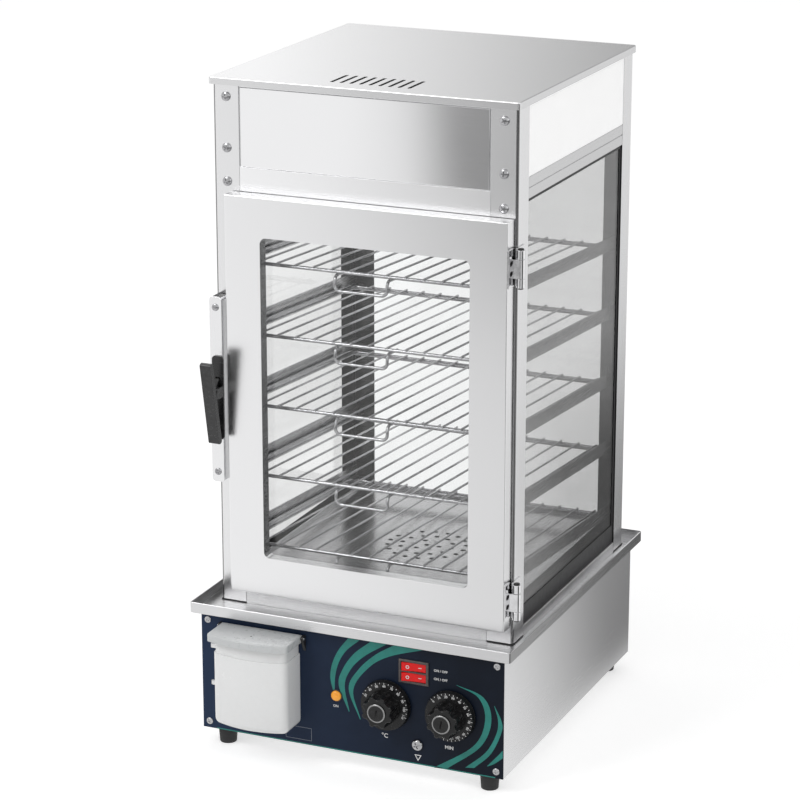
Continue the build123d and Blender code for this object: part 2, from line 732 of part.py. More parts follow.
def box_outline(inset, rear):
    """Plan of the water box: square at the back, bowed at the front."""
    left = BOX_LEFT + inset
    right = BOX_RIGHT - inset
    side_y = panel_front - BOX_DEPTH + inset
    bow_y = side_y - BOX_BOW
    with BuildSketch(mode=Mode.PRIVATE) as outline:
        with BuildLine():
            Polyline((left, side_y), (left, rear), (right, rear), (right, side_y))
            ThreePointArc((right, side_y), ((left + right) / 2, bow_y), (left, side_y))
        make_face()
    return outline.sketch


def make_water_box():
    rear = panel_front
    pin_y = rear - BOX_LID_AXIS_OUT
    pin_z = BOX_LID_TOP - BOX_LID_AXIS_DOWN
    lid_left = BOX_LEFT - BOX_LID_OVERHANG
    lid_right = BOX_RIGHT + BOX_LID_OVERHANG
    with BuildPart() as water_box:
        extrude(Plane.XY.offset(BOX_BOTTOM) * box_outline(0, rear), amount=BOX_SHOULDER - BOX_BOTTOM)
        front_corners = water_box.edges().filter_by(Axis.Z).group_by(Axis.Y)[0]
        fillet(front_corners, BOX_CORNER)
        bottom_edges = water_box.faces().sort_by(Axis.Z)[0].edges()
        rear_edge = bottom_edges.sort_by(Axis.Y)[-1]
        fillet([edge for edge in bottom_edges if edge != rear_edge], BOX_BOTTOM_CORNER)
        extrude(Plane.XY.offset(BOX_SHOULDER) * box_outline(BOX_NECK_INSET, rear),
                amount=BOX_TOP - BOX_SHOULDER)
        neck_corners = water_box.edges().filter_by(Axis.Z).filter_by(
            lambda edge: edge.center().Z > BOX_SHOULDER).group_by(Axis.Y)[0]
        fillet(neck_corners, BOX_CORNER - BOX_NECK_INSET)
        cavity = box_outline(BOX_NECK_INSET + BOX_WALL, rear - BOX_WALL)
        extrude(Plane.XY.offset(BOX_BOTTOM + BOX_WALL + BOX_BOTTOM_CORNER / 2) * cavity,
                amount=BOX_TOP, mode=Mode.SUBTRACT)
        rod((box_mid, rear - BOX_WALL - 1, FEED_LEVEL), (box_mid, rear + 1, FEED_LEVEL),
            PIPE_RADIUS - PIPE_WALL, Mode.SUBTRACT)
        for level in BOX_CLIP_LEVELS:
            block((BOX_LEFT - BOX_CLIP_REACH, BOX_LEFT + 1), (rear - BOX_EAR, rear),
                  (level - BOX_CLIP_HEIGHT / 2, level + BOX_CLIP_HEIGHT / 2))
        ear_spans = (
            (lid_left - BOX_LID_GAP - BOX_EAR, lid_left - BOX_LID_GAP, BOX_LEFT + BOX_NECK_INSET + 1),
            (lid_right + BOX_LID_GAP, lid_right + BOX_LID_GAP + BOX_EAR, BOX_RIGHT - BOX_NECK_INSET - 1),
        )
        for low, high, root in ear_spans:
            block((low, high), (pin_y - BOX_LID_LUG, rear), (BOX_SHOULDER, pin_z))
            rod((low, pin_y, pin_z), (high, pin_y, pin_z), BOX_LID_LUG)
            block((min(low, root), max(high, root)), (rear - BOX_EAR, rear),
                  (BOX_SHOULDER, BOX_SHOULDER + 2 * BOX_EAR))
            tip = low + BOX_EAR + BOX_LID_PIN_LENGTH if low < root else high - BOX_EAR - BOX_LID_PIN_LENGTH
            rod(((low + high) / 2, pin_y, pin_z), (tip, pin_y, pin_z), BOX_LID_PIN)
    save(water_box, "water_box")


def make_water_box_lid():
    left = BOX_LEFT - BOX_LID_OVERHANG
    right = BOX_RIGHT + BOX_LID_OVERHANG
    pin_y = panel_front - BOX_LID_AXIS_OUT
    pin_z = BOX_LID_TOP - BOX_LID_AXIS_DOWN
    rear = panel_front - BOX_LID_AXIS_OUT + BOX_LID_LUG
    side_y = panel_front - BOX_DEPTH - BOX_LID_FRONT
    bow_y = side_y - BOX_BOW
    under = BOX_TOP + BOX_LID_GAP
    with BuildPart() as water_box_lid:
        with BuildSketch(Plane.XY.offset(under)):
            with BuildLine():
                Polyline((left, side_y), (left, rear), (right, rear), (right, side_y))
                ThreePointArc((right, side_y), ((left + right) / 2, bow_y), (left, side_y))
            make_face()
        extrude(amount=BOX_LID_TOP - under)
        fillet(water_box_lid.edges().filter_by(Axis.Z).group_by(Axis.Y)[0], BOX_CORNER / 2)
        rear_top = water_box_lid.edges().filter_by(Axis.X).group_by(Axis.Y)[-1]
        fillet(rear_top, BOX_LID_REAR_ROUND)
        with BuildSketch(Plane.XY.offset(under)):
            with BuildLine():
                hollow_rear = pin_y - BOX_LID_LUG - BOX_LID_WALL
                hollow_side = side_y + BOX_LID_WALL
                inner_left = left + BOX_LID_WALL
                inner_right = right - BOX_LID_WALL
                Polyline((inner_left, hollow_side), (inner_left, hollow_rear),
                         (inner_right, hollow_rear), (inner_right, hollow_side))
                ThreePointArc((inner_right, hollow_side), (box_mid, bow_y + BOX_LID_WALL),
                              (inner_left, hollow_side))
            make_face()
        extrude(amount=BOX_LID_TOP - under - BOX_LID_WALL, mode=Mode.SUBTRACT)
        for end in (left, right):
            inward = BOX_LID_PIN_LENGTH if end == left else -BOX_LID_PIN_LENGTH
            rod((end - inward, pin_y, pin_z), (end + inward, pin_y, pin_z),
                BOX_LID_PIN + HINGE_RUNNING_FIT, Mode.SUBTRACT)
        vent_y = panel_front - BOX_DEPTH + BOX_LID_FRONT
        rod((box_mid, vent_y, under), (box_mid, vent_y, BOX_LID_TOP + 1), BOX_LID_VENT, Mode.SUBTRACT)
    save(water_box_lid, "water_box_lid")


# Controls

def make_knob(name, x):
    skirt_back = panel_front - KNOB_SKIRT_BACK
    skirt_front = panel_front - KNOB_SKIRT_FRONT
    grip_front = panel_front - KNOB_GRIP_FRONT
    cap_front = panel_front - KNOB_CAP_FRONT
    axis = Plane(origin=(x, 0, KNOB_LEVEL), x_dir=(1, 0, 0), z_dir=(0, -1, 0))
    with BuildPart() as knob:
        with BuildSketch(axis.offset(-skirt_back)):
            Circle(KNOB_SKIRT_RADIUS)
        with BuildSketch(axis.offset(-skirt_front)):
            Circle(KNOB_SKIRT_RADIUS - KNOB_SKIRT_BEVEL)
        loft()
        with BuildSketch(axis.offset(-skirt_front)):
            Circle(KNOB_GRIP_RADIUS)
            with PolarLocations(KNOB_GRIP_RADIUS + KNOB_SCALLOP_OUT, KNOB_LOBES):
                Circle(KNOB_SCALLOP, mode=Mode.SUBTRACT)
        extrude(amount=KNOB_GRIP_FRONT - KNOB_SKIRT_FRONT, taper=KNOB_DRAFT)
        front_rim = knob.faces().sort_by(Axis.Y)[0].edges()
        fillet(front_rim, KNOB_FRONT_ROUND)
        with BuildSketch(axis.offset(-grip_front)):
            Circle(KNOB_CAP_RADIUS)
        extrude(amount=grip_front - cap_front)
        rod((x, skirt_back, KNOB_LEVEL), (x, base_front + THERMOSTAT_DEPTH / 2, KNOB_LEVEL), SHAFT_RADIUS)
    save(knob, name)


def make_control_body(name, x, size, depth):
    """Switch block behind the panel, with the bush that its shaft turns in."""
    shaft_end = base_front + THERMOSTAT_DEPTH / 2 + 1
    with BuildPart() as body:
        block((x - size / 2, x + size / 2), (base_front, base_front + depth),
              (KNOB_LEVEL - size / 2, KNOB_LEVEL + size / 2))
        fillet(body.edges().filter_by(Axis.Y), CONTROL_CORNER)
        rod((x, panel_front - SHAFT_BUSH_FRONT, KNOB_LEVEL), (x, base_front + 1, KNOB_LEVEL),
            SHAFT_BUSH_RADIUS)
        rod((x, panel_front - SHAFT_BUSH_FRONT - 1, KNOB_LEVEL), (x, shaft_end, KNOB_LEVEL),
            SHAFT_RADIUS + SHAFT_RUNNING_FIT, Mode.SUBTRACT)
        blade_y = (base_front + depth, base_front + depth + BLADE_LENGTH)
        blade_z = (KNOB_LEVEL - BLADE_THICKNESS / 2, KNOB_LEVEL + BLADE_THICKNESS / 2)
        for step in (-1, 0, 1):
            blade_x = x + step * size / 4
            block((blade_x - BLADE_WIDTH / 2, blade_x + BLADE_WIDTH / 2), blade_y, blade_z)
    save(body, name)


def make_capillary_bulb():
    """Sensing bulb in the pan, its capillary and the gland where it passes the wall."""
    bulb_z = pan_bottom + BULB_LEVEL
    bulb_x = THERMOSTAT_X
    capillary = CAPILLARY_RADIUS
    start = (bulb_x, base_front + THERMOSTAT_DEPTH, KNOB_LEVEL + THERMOSTAT_SIZE / 3)
    with BuildPart() as capillary_bulb:
        bulb_y = PAN_FRONT + BULB_STANDOFF
        nut_y = PAN_FRONT - CAPILLARY_NUT_LENGTH
        rod((bulb_x, bulb_y, bulb_z), (bulb_x, bulb_y + BULB_LENGTH, bulb_z), BULB_RADIUS)
        rod((bulb_x, nut_y, bulb_z), (bulb_x, bulb_y + 1, bulb_z), capillary)
        rod((bulb_x, nut_y, bulb_z), (bulb_x, PAN_FRONT, bulb_z), CAPILLARY_NUT)
        with BuildLine() as route_line:
            FilletPolyline(start, (bulb_x, start[1] + CAPILLARY_RUN, start[2]),
                           (bulb_x, start[1] + CAPILLARY_RUN, bulb_z), (bulb_x, PAN_FRONT, bulb_z),
                           radius=CAPILLARY_BEND)
        with BuildSketch(Plane(origin=start, z_dir=(0, 1, 0))):
            Circle(capillary)
        sweep(path=route_line.wires()[0])
    save(capillary_bulb, "capillary_bulb")


def rocker_span(index):
    """Height span of one rocker: 0 is the lower one, 1 the upper one."""
    well = (SWITCH_HEIGHT - 2 * SWITCH_WALL + SWITCH_WELL_GROWTH - SWITCH_DIVIDER) / 2
    low = SWITCH_Z + SWITCH_DIVIDER / 2 if index else SWITCH_Z - SWITCH_DIVIDER / 2 - well
    return (low, low + well)


def make_switch_housing():
    half_x = SWITCH_WIDTH / 2
    half_z = SWITCH_HEIGHT / 2
    body_x = half_x - SWITCH_BODY_GAP - CONTROL_HOLE_GAP
    body_z = half_z - SWITCH_BODY_GAP - CONTROL_HOLE_GAP
    well_x = ROCKER_LENGTH / 2 + ROCKER_END_GAP
    front = panel_front - SWITCH_BEZEL
    pivot_y = panel_front + ROCKER_PIVOT_BACK
    with BuildPart() as switch_housing:
        block((SWITCH_X - half_x, SWITCH_X + half_x), (front, panel_front),
              (SWITCH_Z - half_z, SWITCH_Z + half_z))
        fillet(switch_housing.faces().sort_by(Axis.Y)[0].edges(), SWITCH_EDGE_ROUND)
        block((SWITCH_X - body_x, SWITCH_X + body_x), (panel_front, panel_front + SWITCH_BODY_DEPTH),
              (SWITCH_Z - body_z, SWITCH_Z + body_z))
        for index in (0, 1):
            block((SWITCH_X - well_x, SWITCH_X + well_x), (front - 1, front + ROCKER_WELL),
                  rocker_span(index), Mode.SUBTRACT)
        rod((SWITCH_X, pivot_y, rocker_span(0)[0]), (SWITCH_X, pivot_y, rocker_span(1)[1]), ROCKER_PIN)
        blade_y = (panel_front + SWITCH_BODY_DEPTH, panel_front + SWITCH_BODY_DEPTH + BLADE_LENGTH)
        for step_x in (-1, 0, 1):
            for index in (0, 1):
                middle = sum(rocker_span(index)) / 2
                blade_x = SWITCH_X + step_x * ROCKER_LENGTH / 3
                block((blade_x - SWITCH_BLADE_THICKNESS / 2, blade_x + SWITCH_BLADE_THICKNESS / 2), blade_y,
                      (middle - SWITCH_BLADE_WIDTH / 2, middle + SWITCH_BLADE_WIDTH / 2))
    save(switch_housing, "switch_housing")


def make_rocker(name, index):
    low, high = rocker_span(index)
    pivot = (SWITCH_X, panel_front + ROCKER_PIVOT_BACK, low + ROCKER_SIDE_GAP)
    half = ROCKER_LENGTH / 2
    front = -(ROCKER_FRONT + ROCKER_PIVOT_BACK)
    rocker_plane = Plane(origin=pivot).rotated((0, 0, ROCKER_TILT))
    with BuildPart() as rocker:
        with BuildSketch(rocker_plane):
            with BuildLine():
                Polyline((-half, front + ROCKER_DISH), (-half, -1), (-half / 3, ROCKER_BACK),
                         (half / 3, ROCKER_BACK), (half, -1), (half, front + ROCKER_DISH))
                ThreePointArc((half, front + ROCKER_DISH), (0, front + 2 * ROCKER_DISH),
                              (-half, front + ROCKER_DISH))
            make_face()
            Circle(ROCKER_PIN + SHAFT_RUNNING_FIT, mode=Mode.SUBTRACT)
        extrude(amount=high - low - 2 * ROCKER_SIDE_GAP)
    save(rocker, name)


def make_indicator_lamp():
    lens = panel_front - LAMP_LENS_FRONT
    with BuildPart() as indicator_lamp:
        rod((LAMP_X, panel_front, KNOB_LEVEL), (LAMP_X, lens, KNOB_LEVEL), LAMP_LENS_RADIUS)
        fillet(indicator_lamp.faces().sort_by(Axis.Y)[0].edges(), LAMP_LENS_ROUND)
        rod((LAMP_X, panel_front, KNOB_LEVEL), (LAMP_X, base_front + LAMP_BODY_DEPTH, KNOB_LEVEL),
            LAMP_BODY_RADIUS)
        rod((LAMP_X, base_front, KNOB_LEVEL), (LAMP_X, base_front + LAMP_NUT_LENGTH, KNOB_LEVEL),
            LAMP_LENS_RADIUS + LAMP_NUT_MARGIN)
    save(indicator_lamp, "indicator_lamp")


def make_ground_terminal():
    with BuildPart() as ground_terminal:
        pan_head((EARTH_X, panel_front, EARTH_LEVEL), (0, -1, 0), EARTH_HEAD, EARTH_RADIUS,
                 EARTH_HEAD_THICKNESS, EARTH_LENGTH)
        nut_plane = Plane(origin=(EARTH_X, base_front, EARTH_LEVEL), z_dir=(0, 1, 0))
        with BuildSketch(nut_plane):
            RegularPolygon(EARTH_RADIUS * 2, HEX_SIDES)
        extrude(amount=EARTH_NUT_LENGTH)
    save(ground_terminal, "ground_terminal")


def make_terminal_block():
    floor_z = FOOT_HEIGHT + SHEET
    y = (base_back - BLOCK_BACK, base_back - BLOCK_BACK + BLOCK_DEPTH)
    with BuildPart() as terminal_block:
        block((GLAND_X - BLOCK_LENGTH / 2, GLAND_X + BLOCK_LENGTH / 2), y,
              (floor_z, floor_z + BLOCK_HEIGHT))
        for step in (-1, 0, 1):
            x = GLAND_X + step * BLOCK_LENGTH / 3
            for place_y in (y[0] + BLOCK_WELL_INSET, y[1] - BLOCK_WELL_INSET):
                rod((x, place_y, floor_z + BLOCK_HEIGHT - BLOCK_WELL_DEPTH),
                    (x, place_y, floor_z + BLOCK_HEIGHT + 1), BLOCK_WELL, Mode.SUBTRACT)
    save(terminal_block, "terminal_block")


def make_cable_gland():
    with BuildPart() as cable_gland:
        gland_plane = Plane(origin=(GLAND_X, base_back, GLAND_LEVEL), z_dir=(0, 1, 0))
        with BuildSketch(gland_plane):
            RegularPolygon(GLAND_RADIUS, HEX_SIDES)
        extrude(amount=GLAND_NUT_LENGTH)
        rod((GLAND_X, base_back, GLAND_LEVEL), (GLAND_X, base_back + GLAND_OUT, GLAND_LEVEL),
            GLAND_RADIUS - GLAND_WALL)
        fillet(cable_gland.faces().sort_by(Axis.Y)[-1].edges(), GLAND_ROUND)
        rod((GLAND_X, base_back, GLAND_LEVEL), (GLAND_X, base_back - GLAND_IN, GLAND_LEVEL),
            GLAND_RADIUS - GLAND_NECK)
        with BuildSketch(Plane(origin=(GLAND_X, base_back - SHEET, GLAND_LEVEL), z_dir=(0, -1, 0))):
            RegularPolygon(GLAND_RADIUS, HEX_SIDES)
        extrude(amount=GLAND_BACKNUT_LENGTH)
        rod((GLAND_X, base_back - GLAND_IN - 1, GLAND_LEVEL),
            (GLAND_X, base_back + GLAND_OUT + 1, GLAND_LEVEL), GLAND_BORE, Mode.SUBTRACT)
    save(cable_gland, "cable_gland")


# Cabinet frame

def header_screw_places():
    x = cab_side - HEADER_SCREW_INSET
    return [(side * x, deck + level) for side in (-1, 1) for level in HEADER_SCREW_LEVELS]


def hinge_levels():
    return [deck + level for level in HINGE_LEVELS]


def make_posts():
    with BuildPart() as posts:
        for side in (-1, 1):
            for corner_y, inward in ((cab_front, 1), (cab_back, -1)):
                corner_x = side * cab_side
                end_x = corner_x - side * POST_LEG
                end_y = corner_y + inward * POST_LEG
                thin_x = corner_x - side * FRAME_SHEET
                thin_y = corner_y + inward * FRAME_SHEET
                with BuildSketch(Plane.XY.offset(post_bottom)) as angle:
                    with BuildLine():
                        Polyline((corner_x, corner_y), (end_x, corner_y), (end_x, thin_y),
                                 (thin_x, thin_y), (thin_x, end_y), (corner_x, end_y),
                                 (corner_x, corner_y))
                    make_face()
                    outer = angle.vertices().sort_by_distance((corner_x, corner_y, 0))[0]
                    fillet(outer, POST_BEND)
                extrude(amount=post_top - post_bottom)
        for x, level in header_screw_places():
            rod((x, cab_front - 1, level), (x, skin_front + 1, level),
                HEADER_SCREW_RADIUS + SCREW_CLEARANCE, Mode.SUBTRACT)
        for level in hinge_levels():
            y = cab_front + HINGE_FORWARD
            screw_z = level - HINGE_SCREW_DROP
            rod((skin_side - 1, y, screw_z), (cab_side + 1, y, screw_z), HINGE_SCREW + SCREW_CLEARANCE,
                Mode.SUBTRACT)
    save(posts, "posts")


def make_bottom_rails():
    lap_x = flange_x + RAIL_LAP
    with BuildPart() as bottom_rails:
        front_z = (deck, deck + BOTTOM_RAIL_HEIGHT)
        block((-flange_x, flange_x), (cab_front, skin_front), front_z)
        block((-lap_x, lap_x), (skin_front, skin_front + FRAME_SHEET), front_z)
        rear_z = (deck, deck + REAR_RAIL_HEIGHT)
        lap_z = (deck, deck + SIDE_RAIL_HEIGHT)
        block((-flange_x, flange_x), (skin_back, cab_back), rear_z)
        block((-lap_x, lap_x), (skin_back - FRAME_SHEET, skin_back), lap_z)
        side_z = (deck, deck + SIDE_RAIL_HEIGHT)
        for x in both_sides((skin_side, cab_side)):
            block(x, (flange_front, flange_back), side_z)
        for x in both_sides((skin_side - FRAME_SHEET, skin_side)):
            block(x, (skin_front + 2 * FRAME_SHEET, skin_back - 2 * FRAME_SHEET), side_z)
    save(bottom_rails, "bottom_rails")


def make_side_top_rails():
    low = ledge_level - TOP_RAIL_HEIGHT / 2 - TOP_RAIL_DROP
    high = low + TOP_RAIL_HEIGHT
    seam = low + TOP_RAIL_HEIGHT / 2 - 0.5
    y_run = (skin_front + 2 * FRAME_SHEET, skin_back - 2 * FRAME_SHEET)
    with BuildPart() as side_top_rails:
        for x in both_sides((skin_side, cab_side)):
            block(x, (flange_front, flange_back), (low, high))
        for x in both_sides((skin_side - FRAME_SHEET, skin_side)):
            block(x, y_run, (ledge_level, high))
        for x in both_sides((skin_side - LEDGE_DEPTH, skin_side)):
            block(x, y_run, (ledge_level, ledge_level + SHEET))
        for x in both_sides((cab_side - TOP_RAIL_SEAM, cab_side + 1)):
            block(x, (flange_front, flange_back), (seam, seam + TOP_RAIL_SEAM), Mode.SUBTRACT)
    save(side_top_rails, "side_top_rails")


def make_header_frame():
    lap_x = flange_x + RAIL_LAP
    back_y = (skin_front, skin_front + FRAME_SHEET)
    with BuildPart() as header_frame:
        block((-lap_x, lap_x), back_y, (header_bottom, post_top))
        block((-flange_x, flange_x), (cab_front, skin_front),
              (header_bottom, header_bottom + HEADER_STRIP_HEIGHT))
        for x, level in header_screw_places():
            rod((x, skin_front - 1, level), (x, skin_front + FRAME_SHEET + 1, level),
                HEADER_SCREW_RADIUS + SCREW_CLEARANCE, Mode.SUBTRACT)
    save(header_frame, "header_frame")


def make_sign_panel():
    low = header_bottom + HEADER_STRIP_HEIGHT + SIGN_GAP
    with BuildPart() as sign_panel:
        block((-SIGN_WIDTH / 2, SIGN_WIDTH / 2), (cab_front, skin_front), (low, low + SIGN_HEIGHT))
        fillet(sign_panel.faces().sort_by(Axis.Y)[0].edges(), SIGN_EDGE_ROUND)
    save(sign_panel, "sign_panel")


def make_frame_screws():
    """Header screws on the front posts and the screws of the post's hinge leaves."""
    with BuildPart() as frame_screws:
        for x, level in header_screw_places():
            pan_head((x, cab_front, level), (0, -1, 0), HEADER_SCREW_HEAD, HEADER_SCREW_RADIUS,
                     HEADER_HEAD_THICKNESS, HEADER_SCREW_LENGTH)
        for level in hinge_levels():
            seat = (cab_side + HINGE_LEAF, cab_front + HINGE_FORWARD, level - HINGE_SCREW_DROP)
            pan_head(seat, (1, 0, 0), HINGE_SCREW_HEAD, HINGE_SCREW, HINGE_HEAD_THICKNESS,
                     HINGE_LEAF + FRAME_SHEET - SCREW_CLEARANCE)
    save(frame_screws, "frame_screws")


def make_lamp_side_panels():
    low = ledge_level + TOP_RAIL_HEIGHT / 2 - TOP_RAIL_DROP + RAIL_END_GAP
    y_run = (skin_front + 2 * FRAME_SHEET, skin_back - 2 * FRAME_SHEET)
    with BuildPart() as lamp_side_panels:
        for x in both_sides((skin_side, cab_side)):
            block(x, (flange_front, flange_back), (low, post_top - RAIL_END_GAP))
        for x in both_sides((skin_side - FRAME_SHEET, skin_side)):
            block(x, y_run, (low, post_top - RAIL_END_GAP))
    save(lamp_side_panels, "lamp_side_panels")


def make_rear_top_panel():
    low = ledge_level - TOP_RAIL_HEIGHT / 2
    with BuildPart() as rear_top_panel:
        block((-flange_x, flange_x), (skin_back, cab_back), (low, post_top - RAIL_END_GAP))
        block((-flange_x - RAIL_LAP, flange_x + RAIL_LAP), (skin_back - FRAME_SHEET, skin_back),
              (ledge_level, post_top - RAIL_END_GAP))
        slot_plane = Plane(origin=(0, cab_back, (ledge_level + post_top) / 2), x_dir=(1, 0, 0),
                           z_dir=(0, -1, 0))
        with BuildSketch(slot_plane):
            with GridLocations(LID_SLOT_PITCH, 1, REAR_SLOT_COUNT, 1):
                SlotOverall(LID_SLOT_LENGTH, LID_SLOT_WIDTH, rotation=90)
        extrude(amount=2 * FRAME_SHEET, mode=Mode.SUBTRACT)
    save(rear_top_panel, "rear_top_panel")


def make_ceiling_plate():
    x = skin_side - FRAME_SHEET - RAIL_END_GAP
    y_run = (skin_front + 2 * FRAME_SHEET, skin_back - 2 * FRAME_SHEET)
    low = ledge_level + SHEET
    with BuildPart() as ceiling_plate:
        block((-x, x), y_run, (low, low + CEILING_THICKNESS))
    save(ceiling_plate, "ceiling_plate")


def make_lamp_tube():
    level = post_top - TUBE_DROP
    with BuildPart() as lamp_tube:
        rod((-TUBE_HALF_LENGTH, CABINET_SHIFT, level), (TUBE_HALF_LENGTH, CABINET_SHIFT, level),
            TUBE_RADIUS)
    save(lamp_tube, "lamp_tube")


def make_lamp_holders():
    level = post_top - TUBE_DROP
    with BuildPart() as lamp_holders:
        for x in both_sides((TUBE_HALF_LENGTH, TUBE_HALF_LENGTH + HOLDER_WIDTH)):
            block(x, (CABINET_SHIFT - HOLDER_SIZE / 2, CABINET_SHIFT + HOLDER_SIZE / 2),
                  (level - HOLDER_SIZE / 2, post_top))
        fillet(lamp_holders.edges().filter_by(Axis.X).group_by(Axis.Z)[0], 3)
    save(lamp_holders, "lamp_holders")


def make_lid():
    half_x = cab_side + LID_SIDE_OVERHANG
    front = cab_front - LID_FRONT_OVERHANG
    back = cab_back + LID_REAR_OVERHANG
    low = TOTAL_HEIGHT - LID_SKIRT
    with BuildPart() as lid:
        block((-half_x, half_x), (front, back), (low, TOTAL_HEIGHT))
        fillet(lid.edges().filter_by(Axis.Z), 3)
        fillet(lid.faces().sort_by(Axis.Z)[-1].edges(), LID_SHEET)
        block((-half_x + LID_SHEET, half_x - LID_SHEET), (front + LID_SHEET, back - LID_SHEET),
              (low, TOTAL_HEIGHT - LID_SHEET), Mode.SUBTRACT)
        with BuildSketch(Plane.XY.offset(TOTAL_HEIGHT)):
            with Locations((0, front + LID_SLOT_FRONT_GAP + LID_SLOT_LENGTH / 2)):
                with GridLocations(LID_SLOT_PITCH, 1, LID_SLOT_COUNT, 1):
                    SlotOverall(LID_SLOT_LENGTH, LID_SLOT_WIDTH, rotation=90)
        extrude(amount=-LID_SHEET, mode=Mode.SUBTRACT)
    save(lid, "lid")


# Glazing

def glass_span():
    low = deck + SIDE_RAIL_HEIGHT + GASKET_BELOW
    high = ledge_level - GASKET_BELOW
    return (low, high)


def make_side_glass():
    low, high = glass_span()
    y_run = (skin_front + 2 * FRAME_SHEET + GASKET_EDGE, skin_back - 2 * FRAME_SHEET - GASKET_EDGE)
    with BuildPart() as side_glass:
        for x in both_sides((glass_side - GLASS, glass_side)):
            block(x, y_run, (low + GASKET_EDGE, high - GASKET_EDGE))
    save(side_glass, "side_glass")


def make_rear_glass():
    low, high = glass_span()
    half = glass_side - GLASS - RAIL_END_GAP - GASKET_EDGE
    with BuildPart() as rear_glass:
        block((-half, half), (glass_back - GLASS, glass_back), (low + GASKET_EDGE, high - GASKET_EDGE))
    save(rear_glass, "rear_glass")


def make_glass_gaskets():
    low, high = glass_span()
    y_run = (skin_front + 2 * FRAME_SHEET, skin_back - 2 * FRAME_SHEET)
    sight_y = (flange_front + GASKET_SIGHT, flange_back - GASKET_SIGHT)
    sight_z = (low + GASKET_SILL, high - TOP_RAIL_HEIGHT / 2 - 3)
    half = glass_side - GLASS - RAIL_END_GAP
    with BuildPart() as glass_gaskets:
        for x in both_sides((glass_side - GLASS, skin_side)):
            block(x, y_run, (low, high))
        for x in both_sides((glass_side - GLASS, glass_side)):
            block(x, (y_run[0] + GASKET_EDGE, y_run[1] - GASKET_EDGE),
                  (low + GASKET_EDGE, high - GASKET_EDGE), Mode.SUBTRACT)
        for x in both_sides((glass_side, skin_side)):
            block(x, sight_y, sight_z, Mode.SUBTRACT)
        block((-half, half), (glass_back - GLASS, skin_back), (low, high))
        block((-half + GASKET_EDGE, half - GASKET_EDGE), (glass_back - GLASS, glass_back),
              (low + GASKET_EDGE, high - GASKET_EDGE), Mode.SUBTRACT)
        block((-flange_x + GASKET_SIGHT, flange_x - GASKET_SIGHT), (glass_back, skin_back),
              sight_z, Mode.SUBTRACT)
    save(glass_gaskets, "glass_gaskets")


# Steam plate, shelves and their rails

def make_steam_plate():
    half = skin_side - PLATE_SIDE_GAP
    front = skin_front + PLATE_FRONT_GAP
    back = skin_back - PLATE_REAR_GAP
    low = deck + SHEET
    floor_top = deck + PLATE_LEVEL
    middle = (front + back) / 2
    with BuildPart() as steam_plate:
        with BuildSketch(Plane.XY.offset(low)):
            with Locations((0, middle)):
                RectangleRounded(2 * half, back - front, PLATE_CORNER)
        extrude(amount=floor_top + PLATE_RIM - low)
        inner_radius = PLATE_CORNER - SHEET
        for z_start, height in ((low, floor_top - SHEET - low), (floor_top, PLATE_RIM)):
            with BuildSketch(Plane.XY.offset(z_start)):
                with Locations((0, middle)):
                    RectangleRounded(2 * (half - SHEET), back - front - 2 * SHEET, inner_radius)
            extrude(amount=height, mode=Mode.SUBTRACT)
        with BuildSketch(Plane.XY.offset(floor_top)):
            with Locations((0, CABINET_SHIFT)):
                Circle(PLATE_HOLE_RADIUS)
                for ring in range(1, PLATE_HOLE_RINGS + 1):
                    with PolarLocations(ring * PLATE_HOLE_PITCH, PLATE_HOLES_IN_FIRST_RING * ring):
                        Circle(PLATE_HOLE_RADIUS)
        extrude(amount=-SHEET, mode=Mode.SUBTRACT)
    save(steam_plate, "steam_plate")


def shelf_plane(index):
    """Sloping plane of one shelf, its origin at the middle of the front rod."""
    slope = radians(SHELF_TILT)
    origin = (0, shelf_front, deck + SHELF_RISE + index * SHELF_PITCH)
    return Plane(origin=origin, x_dir=(1, 0, 0), z_dir=(0, sin(slope), cos(slope)))


def make_shelf_rails():
    slope = radians(SHELF_TILT)
    ledge_top = -SHELF_ROD - SHELF_REST_GAP
    front_y = (skin_front - shelf_front) / cos(slope)
    back_y = (skin_back - GASKET - GLASS - 2 - shelf_front) / cos(slope)
    with BuildPart() as shelf_rails:
        for index in range(SHELF_COUNT):
            with Locations(shelf_plane(index)):
                for x in both_sides((rail_x - FRAME_SHEET, rail_x)):
                    block(x, (front_y + 2, back_y), (ledge_top - FRAME_SHEET, ledge_top + RAIL_LEG))
                for x in both_sides((rail_x - RAIL_LEDGE, rail_x)):
                    block(x, (front_y + 2, back_y), (ledge_top - FRAME_SHEET, ledge_top))
            level = deck + SHELF_RISE + index * SHELF_PITCH
            for x in both_sides((rail_x - RAIL_TAB, rail_x)):
                block(x, (skin_front, skin_front + 2 + FRAME_SHEET),
                      (level + ledge_top - FRAME_SHEET, level + ledge_top + RAIL_LEG))
            rear_drop = (skin_back - shelf_front) * sin(slope)
            for x in both_sides((rail_x - FRAME_SHEET, rail_x)):
                block(x, (glass_back - GLASS - 4, glass_back - GLASS),
                      (level - rear_drop, level - rear_drop + RAIL_LEG / 2))
    save(shelf_rails, "shelf_rails")


